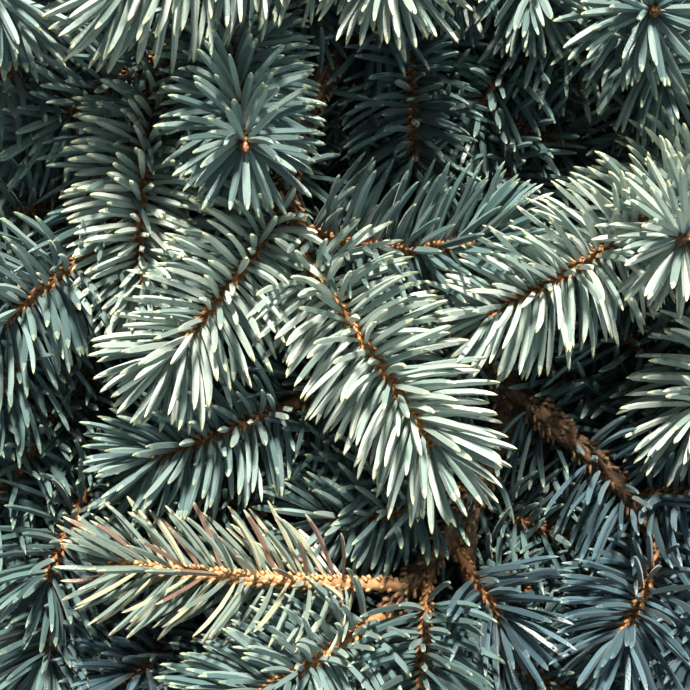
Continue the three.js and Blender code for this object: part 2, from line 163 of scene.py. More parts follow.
# Name, limb, share of its length, tip of the leading twig, arch, bow, tint.
SHOWN_SPRAYS = (
    ("centre_leader", "centre_limb", 1, (18, -21, 66), 7, 1, Tint.GREY_GREEN),
    ("centre_left", "centre_limb", 0.8, (-36, -3, 60), 7, 3, Tint.GREY_GREEN),
    ("centre_right", "centre_limb", 0.9, (30, 22, 54), 4, -7, Tint.DEEP_BLUE),
    ("left_leader", "left_high_limb", 1, (-80, -2, 54), 7, 2, Tint.BLUE_GREEN),
    ("left_short", "left_high_limb", 0.72, (-42, 11, 54), 3, -4, Tint.GREY_GREEN),
    ("left_rosette", "left_high_limb", 0.52, (-19, 38, 74), -8, 0, Tint.BLUE_GREEN),
    ("left_outer", "left_high_limb", 0.64, (-73, 42, 40), 4, 0, Tint.BLUE_GREEN),
    ("top_left", "top_limb", 1, (-43, 67, 77), 5, -3, Tint.GREY_GREEN),
    ("top_right", "top_limb", 0.8, (9, 70, 80), -3, 0, Tint.GREY_GREEN),
    ("top_mid", "right_high_limb", 0.2, (40, 73, 54), 4, 0, Tint.BLUE_GREEN),
    ("corner_rosette", "left_top_limb", 0.95, (-66, 66, 80), -5, 0, Tint.BLUE_GREEN),
    ("right_corner", "right_high_limb", 0.52, (59, 64, 72), -4, 0, Tint.BLUE_GREEN),
    ("right_leader", "right_high_limb", 0.93, (28, 6, 60), 8, 6, Tint.GREY_GREEN),
    ("right_rosette", "right_high_limb", 1, (64, 20, 74), -6, 0, Tint.GREY_GREEN),
    ("right_side", "right_mid_limb", 0.5, (71, -15, 58), 4, 0, Tint.GREY_GREEN),
    ("mid_left", "left_mid_limb", 1, (-41, -24, 50), 4, 0, Tint.BLUE_GREEN),
    ("low_inner", "low_limb", 0.36, (-6, -37, 45), 2, 5, Tint.BLUE_GREEN),
    ("low_right", "low_limb", 0.64, (33, -58, 52), 3, 0, Tint.BLUE),
    ("low_leader", "low_limb", 0.87, (-46, -44, 60), 10, -9, Tint.STRAW),
    ("low_left", "low_limb", 1, (-24, -73, 60), 11, 0, Tint.BLUE_GREEN),
    ("low_front", "low_limb", 0.75, (14, -90, 57), 10, -1, Tint.DEEP_BLUE),
    ("right_low_leader", "right_low_limb", 1, (67, -43, 47), 2, 4, Tint.BLUE),
    ("deep_centre", "main_limb", 0.36, (15, 38, 43), 4, 0, Tint.DEEP_BLUE),
    ("deep_right", "main_limb", 0.55, (54, 44, 34), 2, 0, Tint.DEEP_BLUE),
    ("right_mid_leader", "right_mid_limb", 1, (74, -64, 50), 4, 0, Tint.BLUE),
    ("front_right", "tip_limb", 0.55, (56, -78, 46), 3, 0, Tint.DEEP_BLUE),
    ("left_low_leader", "left_low_limb", 1, (-65, -69, 44), 3, 0, Tint.DEEP_BLUE),
    ("left_low_side", "left_low_limb", 0.6, (-80, -40, 42), 4, 0, Tint.DEEP_BLUE),
    ("low_left_under", "under_low_limb", 1, (-47, -72, 44), 3, 0, Tint.BLUE),
)

# Side shoots that show: foot's share of the leading twig, tip, arch, bow.
SHOWN_SIDES = {
    "right_low_leader": ((1, (57, -60, 56), 2, 0), (0.6, (93, -29, 55), 3, 0)),
}

# What sets some leading twigs apart from the rest, by the fields of Shoot.
HABITS: dict[str, dict[str, object]] = {
    "left_rosette": {"rosette": True},
    "right_rosette": {"rosette": True},
    "right_corner": {"rosette": True},
    "corner_rosette": {"rosette": True, "needle_share": 1.1},
    "top_left": {"needle_share": 1.12},
    "top_right": {"needle_share": 1.12},
    "left_short": {"upward_pull": 0.9},
    "centre_left": {"upward_pull": 0.3},
    "mid_left": {"upward_pull": 0.35},
    "low_left": {"upward_pull": 0.4},
    "low_front": {"upward_pull": 0.3, "needles_from": 8.0},
    "low_right": {"needles_from": 9.0},
    "low_inner": {"needles_from": 8.0},
    "low_leader": {
        "needle_share": 0.9,
        "needles_from": 12.0,
        "radii": (1.25, 0.95),
        "lean": 58.0,
        "kept": 0.8,
        "parting": 0.5,
        "girth": 0.8,
    },
    "right_low_leader": {"old": True, "radii": (2.1, 1.6), "kept": 0.62, "girth": 0.86},
}
# Sprays whose twigs are paler than the rest.
PALE_WOODS = {
    "low_leader": Wood.STRAW,
    "centre_leader": Wood.GOLDEN,
    "low_left": Wood.GOLDEN,
}
# Leading twigs that sag, by how far the point that they bend towards moves.
SAGS = {"low_leader": (0.0, -9.0, 0.0)}

# The share of their needles that limbs still bear along their outer part.
NEEDLED_LIMBS = {
    "main_limb": 0.0,
    "low_limb": 0.0,
    "right_low_limb": 0.1,
    "centre_limb": 0.1,
    "top_limb": 0.35,
    "left_high_limb": 0.45,
    "right_high_limb": 0.45,
    "left_mid_limb": 0.3,
    "left_top_limb": 0.45,
    "left_low_limb": 0.45,
    "right_mid_limb": 0.45,
    "tip_limb": 0.45,
    "under_left_limb": 0.45,
    "under_right_limb": 0.45,
    "under_mid_limb": 0.45,
    "under_low_limb": 0.45,
    "under_tip_limb": 0.45,
}


def linear(code: int) -> tuple[float, float, float, float]:
    """Turns a display colour into the linear one that shaders take.

    Args:
        code: The colour as 0xRRGGBB.

    Returns:
        Red, green, blue and an alpha of 1.
    """
    channels = ((code >> shift & 255) / 255 for shift in (16, 8, 0))
    return (*(c / 12.92 if c <= 0.04045 else ((c + 0.055) / 1.055) ** 2.4 for c in channels), 1.0)


class Lcg:
    """Numbers from 0 to 1 that are the same in every run, and the same as in the solids."""

    FACTOR, ADDEND, LIMIT = 1664525, 1013904223, 2**32

    def __init__(self, seed: int) -> None:
        """Starts the row of numbers at a seed."""
        self.state = seed

    def __call__(self) -> float:
        """Draws the next number."""
        self.state = (self.state * self.FACTOR + self.ADDEND) % self.LIMIT
        return self.state / self.LIMIT

    def within(self, span: tuple[float, float]) -> float:
        """Draws a number between the two of a span."""
        return mix(*span, self())


def mix(low: float, high: float, share: float | np.ndarray) -> float | np.ndarray:
    """Goes from one value, at share 0, to another, at share 1."""
    return (1 - share) * low + share * high


def unit(vectors: np.ndarray) -> np.ndarray:
    """Brings one vector, or an array of them by rows, to length 1."""
    return vectors / np.maximum(np.linalg.norm(vectors, axis=-1, keepdims=True), 1e-12)


def ring_turns(sides: int) -> np.ndarray:
    """Lists the turns, in radians, at which a ring has its corners."""
    return np.arange(sides) * math.tau / sides


def spans(points: np.ndarray, others: np.ndarray) -> np.ndarray:
    """Measures from each point to the nearest of some others.

    Args:
        points: Points by rows.
        others: The points to measure to, by rows.

    Returns:
        One distance a point.
    """
    square = (points**2).sum(1)[:, None] + (others**2).sum(1)[None, :] - 2 * points @ others.T
    return np.sqrt(np.maximum(square.min(1), 0))


class Curve:
    """A quadratic Bezier curve, with the samples by which others keep their distance."""

    def __init__(
        self, foot: Sequence[float], through: Sequence[float], tip: Sequence[float]
    ) -> None:
        """Sets up the curve.

        Args:
            foot: Where it starts.
            through: The point that it bends towards.
            tip: Where it ends.
        """
        self.foot, self.through, self.tip = (np.array(p, float) for p in (foot, through, tip))
        self.samples = self.at(np.linspace(0, 1, AXIS_STEPS + 1))

    def at(self, share: float | np.ndarray) -> np.ndarray:
        """Finds points on the curve.

        Args:
            share: One share of the curve or an array of them.

        Returns:
            One point, or points by rows.
        """
        t = np.asarray(share, float)[..., None]
        return (1 - t) ** 2 * self.foot + 2 * (1 - t) * t * self.through + t**2 * self.tip

    def tangent(self, share: float | np.ndarray, step: float = 1e-4) -> np.ndarray:
        """Finds the curve's way, by a small step to each side as the solids do.

        Args:
            share: One share of the curve or an array of them.
            step: The step.

        Returns:
            One direction, or directions by rows.
        """
        t = np.asarray(share, float)
        return unit(self.at(np.minimum(t + step, 1)) - self.at(np.maximum(t - step, 0)))

    @property
    def chord(self) -> float:
        """The straight distance from foot to tip."""
        return float(np.linalg.norm(self.tip - self.foot))

    @property
    def length(self) -> float:
        """The distance along the curve."""
        steps = np.diff(self.samples[: AXIS_STEPS + 1], axis=0)
        return float(np.linalg.norm(steps, axis=1).sum())

    def frames(self, share: np.ndarray) -> tuple[np.ndarray, np.ndarray, np.ndarray]:
        """Sets up a cross section at each share.

        Args:
            share: Shares of the curve.

        Returns:
            The tangents, the directions across and the directions over, by rows.
        """
        _, upright = sideways(unit(self.tip - self.foot))
        tangents = self.tangent(share)
        across = unit(np.cross(tangents, upright))
        return tangents, across, unit(np.cross(across, tangents))

    def spokes(self, share: np.ndarray, sides: int) -> np.ndarray:
        """Lists the directions from the curve to the corners of a ring at each share.

        Args:
            share: Shares of the curve.
            sides: The corners of a ring.

        Returns:
            Directions by share and corner.
        """
        turns = ring_turns(sides)
        _, across, over = self.frames(share)
        return across[:, None] * np.cos(turns)[:, None] + over[:, None] * np.sin(turns)[:, None]


def sideways(along: np.ndarray, steep: float = 0.9) -> tuple[np.ndarray, np.ndarray]:
    """Finds two directions square to another, the second as near to upright as it can be.

    Args:
        along: The direction.
        steep: The rise past which it counts as upright itself.

    Returns:
        The direction across and the direction over.
    """
    upright = np.array([1.0, 0, 0]) if abs(along[2]) > steep else np.array([0, 0, 1.0])
    across = unit(np.cross(along, upright))
    return across, unit(np.cross(across, along))


def turned(along: np.ndarray, angle: float, roll: float) -> np.ndarray:
    """Turns a direction away by an angle, at a roll about it.

    Args:
        along: The direction.
        angle: The turn, in radians.
        roll: The roll, in radians.

    Returns:
        The turned direction.
    """
    across, over = sideways(along)
    around = across * math.cos(roll) + over * math.sin(roll)
    return along * math.cos(angle) + around * math.sin(angle)


@dataclass
class Limb:
    """A length of older wood, with its radii at foot and tip and how far its foot flares."""

    curve: Curve
    radii: tuple[float, float]
    flare: float


@dataclass
class Shoot:
    """A twig that bears needles.

    A rosette points at the viewer and spreads its last needles into a star round the bud. An old
    shoot has flaking bark. Neither needles nor pegs grow on the bare foot, and up to needles_from
    only pegs do. Kept is the share of needles left, needle_share and girth are their length and
    stoutness against a full one, upward_pull bends them up towards the light, lean is their angle
    to the twig, and parting draws them off its upper side.
    """

    curve: Curve
    rosette: bool = False
    old: bool = False
    detail: Detail = Detail.SHOWN
    pegs: bool = True
    radii: tuple[float, float] = (1.0, 0.75)
    bare_foot: float = 3.5
    needles_from: float = 0.0
    kept: float = 1.0
    needle_share: float = 1.0
    girth: float = 1.0
    upward_pull: float = 0.12
    lean: float = 74.0
    parting: float = 0.04

    @classmethod
    def between(cls, foot: np.ndarray, tip: Sequence[float], arch: float, bow: float) -> "Shoot":
        """Grows a shoot that is arched upwards and bowed to the left of its way.

        Args:
            foot: Where it springs from.
            tip: Where it ends.
            arch: How far its middle is raised.
            bow: How far its middle is moved to the left.

        Returns:
            The shoot, whose last samples lie on its end needle.
        """
        foot, tip = np.array(foot, float), np.array(tip, float)
        way = tip - foot
        middle = (foot + tip) / 2 + unit(np.array([-way[1], way[0], 0.0])) * bow
        middle[2] += arch
        curve = Curve(foot, middle, tip)
        ahead = tip + curve.tangent(1.0) * END_NEEDLE * np.array([[0.5], [1.0]])
        curve.samples = np.concatenate([curve.samples, ahead])
        return cls(curve)

    def radius(self, share: np.ndarray) -> np.ndarray:
        """Gives the twig's radius at shares of its length, swollen at its foot."""
        swelling = OLD_FOOT_SWELLING if self.old else FOOT_SWELLING
        return mix(*self.radii, share) + swelling * np.exp(-share * SWELLING_FADE)


@dataclass
class Spray:
    """A leading twig with its side shoots, all of one tint."""

    name: str
    kind: Kind
    tint: Tint
    shoots: list[Shoot] = field(default_factory=list)

    @property
    def node(self) -> str:
        """The solid that this spray stands for."""
        return f"{self.name}_spray"


@dataclass
class Growth:
    """Grows the limbs and sprays by the rule of the solids, then finer twigs in the room left.

    The twigs stay in an oval crown. Over its shaded middle they stay below a ceiling as well.
    """

    crown_centre: tuple[float, float] = (4.0, 8.0)
    crown_reach: tuple[float, float] = (102.0, 102.0)
    lowest_twig: float = 10.0
    highest_twig: float = 60.0
    shaded_ceiling: float = 44.0
    shaded_half: float = 61.0
    limb_clear: float = 5.0
    limb_flare: float = 0.35
    first_free_step: int = 4
    seed: int = 4
    inner_sprays: int = 14
    inner_tries: int = 260
    inner_length: float = 46.0
    inner_length_spread: tuple[float, float] = (0.85, 1.1)
    inner_foot: tuple[float, float] = (0.2, 1.0)
    inner_angle: tuple[float, float] = (25.0, 75.0)
    inner_arch: float = 3.0
    inner_clear: float = 9.0
    side_share: float = 0.75
    side_share_spread: tuple[float, float] = (0.8, 1.1)
    side_foot: tuple[float, float] = (0.22, 0.7)
    side_angle: tuple[float, float] = (40.0, 62.0)
    side_arch: float = 2.0
    side_below_leader: float = 12.0
    under_seed: int = 9
    under_shoots: int = 72
    under_tries: int = 70
    under_on_limb: float = 0.5
    under_foot: tuple[float, float] = (0.15, 1.0)
    under_length: tuple[float, float] = (30.0, 46.0)
    under_angle: tuple[float, float] = (25.0, 80.0)
    under_radii: tuple[float, float] = (0.85, 0.62)
    under_ceiling: float = 42.0
    under_clear: float = 5.0
    cover_spread: float = 120.0

    def __post_init__(self) -> None:
        """Grows it all, in the order in which the solids draw their numbers."""
        self.random = Lcg(self.seed)
        self.limbs = self._limbs()
        self.carriers = list(self.limbs.values())
        self.sprays = self._shown()
        self._inner()
        self._sides()
        self._undergrowth()
        self._settle()
        counts = len(self.limbs), len(self.sprays), len(self.shoots)
        log.info("grown: %d limbs, %d sprays, %d shoots", *counts)

    @property
    def shoots(self) -> list[Shoot]:
        """Every shoot of every spray."""
        return [shoot for spray in self.sprays for shoot in spray.shoots]

    def _limbs(self) -> dict[str, Limb]:
        """Sets up the limbs.

        Returns:
            The limbs by name, each parent before its branches.
        """
        foot, through, tip, radii = MAIN_LIMB
        limbs = {"main_limb": Limb(Curve(foot, through, tip), radii, 0.0)}
        for name, parent, share, through, tip, radii in BRANCH_LIMBS:
            curve = Curve(limbs[parent].curve.at(share), through, tip)
            limbs[name] = Limb(curve, radii, self.limb_flare)
        return limbs

    def _shown(self) -> list[Spray]:
        """Sets up the sprays that the picture shows.

        Returns:
            The sprays, with the side shoots that are named for them.
        """
        sprays = []
        for name, limb, share, tip, arch, bow, tint in SHOWN_SPRAYS:
            plain = Shoot.between(self.limbs[limb].curve.at(share), tip, arch, bow)
            leader = replace(plain, **HABITS.get(name, {}))
            named = SHOWN_SIDES.get(name, ())
            sides = [Shoot.between(leader.curve.at(foot), *rest) for foot, *rest in named]
            sprays.append(Spray(name, Kind.SHOWN, tint, [leader, *sides]))
        return sprays

    def _in_crown(self, points: np.ndarray, ceiling: float) -> bool:
        """Tells whether points are all inside the crown.

        Args:
            points: The points, by rows.
            ceiling: How high they may be over its shaded middle.

        Returns:
            Whether they are.
        """
        shaded = (np.abs(points[:, :2]) < self.shaded_half).all(1)
        oval = (((points[:, :2] - self.crown_centre) / self.crown_reach) ** 2).sum(1)
        top = np.where(shaded, ceiling, self.highest_twig)
        return bool(((oval < 1) & (points[:, 2] > self.lowest_twig) & (points[:, 2] < top)).all())

    def _outer(self, shoot: Shoot) -> np.ndarray:
        """Lists the samples of a shoot that keep their distance."""
        return shoot.curve.samples[self.first_free_step :]

    def _room(self, shoot: Shoot, others: Iterable[Shoot]) -> float:
        """Measures from a shoot to the nearest of some others."""
        samples = np.concatenate([other.curve.samples for other in others])
        return float(spans(self._outer(shoot), samples).min())

    def _off_limbs(self, shoot: Shoot, limbs: Iterable[Limb]) -> bool:
        """Tells whether a shoot keeps off some limbs."""
        samples = np.concatenate([limb.curve.samples for limb in limbs])
        return bool(spans(self._outer(shoot), samples).min() >= self.limb_clear)

    def _fits(
        self,
        shoot: Shoot,
        ceiling: float,
        limbs: Iterable[Limb],
        others: Iterable[Shoot],
        clear: float,
    ) -> bool:
        """Tells whether there is room for a shoot.

        Args:
            shoot: The shoot.
            ceiling: How high it may be over the crown's shaded middle.
            limbs: The limbs that it keeps off.
            others: The shoots that it keeps off.
            clear: The room that it needs to them.

        Returns:
            Whether it fits.
        """
        return (
            self._in_crown(self._outer(shoot), ceiling)
            and self._off_limbs(shoot, limbs)
            and self._room(shoot, others) >= clear
        )

    @staticmethod
    def _sprout(
        curve: Curve, share: float, angle: float, roll: float, length: float, arch: float
    ) -> Shoot:
        """Grows a shoot from a limb or twig.

        Args:
            curve: The course of what it grows from.
            share: Where on that.
            angle: Its angle to that.
            roll: Its roll about that, as a share of a full turn.
            length: Its length.
            arch: How far its middle is raised.

        Returns:
            The shoot.
        """
        foot = curve.at(share)
        way = turned(curve.tangent(share), math.radians(angle), roll * math.tau)
        return Shoot.between(foot, foot + way * length, arch, 0)

    def _inner(self) -> None:
        """Adds the inner sprays, each led by the freest of many shoots that are tried."""
        draw = self.random
        for n in range(1, self.inner_sprays + 1):
            taken, most, leader = self.shoots, self.inner_clear, None
            for _ in range(self.inner_tries):
                limb = self.carriers[int(draw() * len(self.carriers))]
                share = draw.within(self.inner_foot)
                angle, roll = draw.within(self.inner_angle), draw()
                length = self.inner_length * draw.within(self.inner_length_spread)
                shoot = self._sprout(limb.curve, share, angle, roll, length, self.inner_arch)
                others = [other for other in self.carriers if other is not limb]
                if self._fits(shoot, self.shaded_ceiling, others, taken, most):
                    most, leader = self._room(shoot, taken), shoot
            if leader:
                # Inner sprays take the needles darkened as painted shade.
                self.sprays.append(Spray(f"inner_{n:02d}", Kind.INNER, Tint.DEEP_BLUE, [leader]))

    def _sides(self) -> None:
        """Adds the side shoots that there is room for."""
        draw = self.random
        for spray in self.sprays:
            leader, rule = spray.shoots[0].curve, spray.kind.value
            ceiling = max(self.shaded_ceiling, leader.tip[2] - self.side_below_leader)
            for _ in range(rule.tries):
                if len(spray.shoots) > rule.most:
                    break
                share = draw.within(self.side_foot)
                angle, roll = draw.within(self.side_angle), draw()
                length = leader.chord * self.side_share * draw.within(self.side_share_spread)
                shoot = self._sprout(leader, share, angle, roll, length, self.side_arch)
                others = [other for other in self.shoots if other is not spray.shoots[0]]
                if self._fits(shoot, ceiling, self.carriers, others, rule.clear):
                    spray.shoots.append(shoot)

    def _undergrowth(self) -> None:
        """Fills the shaded room with twigs, each the one of many tried that covers bare ground."""
        draw = Lcg(self.under_seed)
        inner = [spray for spray in self.sprays if spray.kind is Kind.INNER]
        grown = self.shoots
        for _ in range(self.under_shoots):
            taken = np.concatenate([self._outer(shoot) for shoot in grown])
            least, best = math.inf, None
            for _ in range(self.under_tries):
                spray = inner[int(draw() * len(inner))]
                limb = self.carriers[int(draw() * len(self.carriers))]
                on_limb = draw() < self.under_on_limb
                carrier = limb.curve if on_limb else spray.shoots[0].curve
                share = draw.within(self.under_foot)
                angle, roll = draw.within(self.under_angle), draw()
                length = draw.within(self.under_length)
                shoot = self._sprout(carrier, share, angle, roll, length, self.side_arch)
                shoot.pegs, shoot.radii = False, self.under_radii
                if self._fits_under(shoot, carrier, taken):
                    cover = self._cover(shoot, taken)
                    if cover < least:
                        least, best = cover, (spray, shoot)
            if best:
                best[0].shoots.append(best[1])
                grown.append(best[1])
        for spray in inner:
            for shoot in spray.shoots:
                shoot.detail = Detail.SHADED

    def _fits_under(self, shoot: Shoot, carrier: Curve, taken: np.ndarray) -> bool:
        """Tells whether there is room for a twig of the undergrowth.

        Args:
            shoot: The twig.
            carrier: The course of what it grows from.
            taken: Samples of the shoots that it keeps off.

        Returns:
            Whether it fits.
        """
        outer = self._outer(shoot)
        return (
            self._in_crown(outer, self.under_ceiling)
            and outer[:, 2].max() <= self.under_ceiling
            and spans(outer, taken).min() >= self.under_clear
            and self._off_limbs(shoot, (o for o in self.carriers if o.curve is not carrier))
        )

    def _cover(self, shoot: Shoot, taken: np.ndarray) -> float:
        """Measures how much other shoots cover the ground below a twig.

        Args:
            shoot: The twig.
            taken: The other shoots' samples.

        Returns:
            The cover, which is 0 over bare ground.
        """
        outer = self._outer(shoot)
        flat = ((outer[:, None, :2] - taken[None, :, :2]) ** 2).sum(2)
        return float(np.exp(-flat / self.cover_spread).sum(1).mean())

    def _settle(self) -> None:
        """Lets leading twigs sag towards what they lie on, with the shoots that they carry."""
        for spray in self.sprays:
            if spray.name not in SAGS:
                continue
            leader, *sides = spray.shoots
            firm = leader.curve
            soft = Curve(firm.foot, firm.through + SAGS[spray.name], firm.tip)
            soft.samples = np.concatenate([soft.samples, firm.samples[AXIS_STEPS + 1 :]])
            for side in sides:
                curve = side.curve
                nearest = int(np.linalg.norm(firm.samples - curve.foot, axis=1).argmin())
                drop = soft.samples[nearest] - firm.samples[nearest]
                ahead = curve.samples[AXIS_STEPS + 1 :] + drop
                side.curve = Curve(*(p + drop for p in (curve.foot, curve.through, curve.tip)))
                side.curve.samples = np.concatenate([side.curve.samples, ahead])
            leader.curve = soft


class Parts:
    """Gathers many small closed shapes and joins them into one mesh."""

    def __init__(self) -> None:
        """Starts without any."""
        self.points: list[np.ndarray] = []
        self.faces: list[np.ndarray] = []
        self.slots: list[np.ndarray] = []
        self.values: list[np.ndarray] = []
        self.count = 0
        self.triangles = 0

    def add(
        self,
        points: np.ndarray,
        faces: np.ndarray,
        slots: np.ndarray | int = 0,
        values: np.ndarray | None = None,
    ) -> None:
        """Adds points and the faces on them.

        Args:
            points: Points by rows.
            faces: Four corners a row, the last repeated where a face is a triangle.
            slots: Each face's material slot, or one for all.
            values: Two numbers a point that the materials read.
        """
        self.points.append(points)
        self.faces.append(faces + self.count)
        self.slots.append(np.broadcast_to(np.asarray(slots, np.int32), len(faces)))
        self.values.append(np.zeros((len(points), 2)) if values is None else values)
        self.count += len(points)
        self.triangles += int(2 * len(faces) - (faces[:, 2] == faces[:, 3]).sum())

    def add_copies(self, points: np.ndarray, faces: np.ndarray, slots: np.ndarray | int) -> None:
        """Adds many shapes with the same faces.

        Args:
            points: Points by shape and number.
            faces: One shape's faces, four corners a row.
            slots: Each face's material slot, or one for all.
        """
        starts = np.arange(len(points))[:, None, None] * points.shape[1]
        self.add(points.reshape(-1, 3), (faces[None] + starts).reshape(-1, 4), slots)

    def build(
        self,
        name: str,
        materials: Sequence[bpy.types.Material],
        slot: str,
        ridge: int = 0,
        nodes: Sequence[str] = (),
    ) -> bpy.types.Object:
        """Makes the mesh object and tells the frame about it.

        Args:
            name: The piece's name.
            materials: Its materials, by slot.
            slot: A material slot of the record, which is not used.
            ridge: The step between the points of a ridge, which stays sharp, or 0 for none.
            nodes: The solids that it stands for.

        Returns:
            The object.
        """
        points = (np.concatenate(self.points) + ROW_SHIFT) * MM
        quads = np.concatenate(self.faces)
        three = quads[:, 2] == quads[:, 3]
        sizes = np.where(three, 3, 4)
        keep = np.ones(quads.shape, bool)
        keep[three, 3] = False
        mesh = bpy.data.meshes.new(name)
        mesh.vertices.add(len(points))
        mesh.vertices.foreach_set("co", points.ravel())
        mesh.loops.add(int(sizes.sum()))
        mesh.loops.foreach_set("vertex_index", quads[keep])
        mesh.polygons.add(len(quads))
        mesh.polygons.foreach_set("loop_start", np.concatenate([[0], np.cumsum(sizes)[:-1]]))
        mesh.polygons.foreach_set("material_index", np.concatenate(self.slots))
        mesh.update(calc_edges=True)
        mesh.validate()
        mesh.shade_smooth()
        values = mesh.attributes.new("along", "FLOAT2", "POINT")
        values.data.foreach_set("vector", np.concatenate(self.values).ravel())
        if ridge:
            ends = np.empty(2 * len(mesh.edges), np.int32)
            mesh.edges.foreach_get("vertices", ends)
            step = np.abs(np.diff(ends.reshape(-1, 2), axis=1)).ravel()
            sharp = mesh.attributes.new("sharp_edge", "BOOLEAN", "EDGE")
            sharp.data.foreach_set("value", step >= ridge)
        return place(mesh, materials, nodes)


def place(
    mesh: bpy.types.Mesh,
    materials: Sequence[bpy.types.Material],
    nodes: Sequence[str] = (),
) -> bpy.types.Object:
    """Makes a mesh a piece of the bough.

    Args:
        mesh: The mesh, which gives the piece its name.
        materials: Its materials, by slot.
        nodes: The solids that it stands for.

    Returns:
        The object.
    """
    for material in materials:
        mesh.materials.append(material)
    piece = bpy.data.objects.new(mesh.name, mesh)
    bpy.context.scene.collection.objects.link(piece)
    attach(piece, "root")
    if nodes:
        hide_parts(*nodes)
    log.info("%s: %d faces", mesh.name, len(mesh.polygons))
    return piece


def tube_faces(rings: int, sides: int) -> np.ndarray:
    """Lists the faces of a closed tube, seen from outside.

    Args:
        rings: How many rings of points, foot first.
        sides: Points in each ring. One more point follows them for each end, foot first.

    Returns:
        Four corners a row, the last repeated in the triangles that close the ends.
    """
    a = np.arange((rings - 1) * sides)
    b = a - a % sides + (a + 1) % sides
    walls = np.stack([b, a, a + sides, b + sides], 1)
    i = np.arange(sides)
    j = (i + 1) % sides
    foot, tip = rings * sides, rings * sides + 1
    last = (rings - 1) * sides
    foot_cap = np.stack([i, j, np.full(sides, foot), np.full(sides, foot)], 1)
    tip_cap = np.stack([j + last, i + last, np.full(sides, tip), np.full(sides, tip)], 1)
    return np.concatenate([walls, foot_cap, tip_cap])


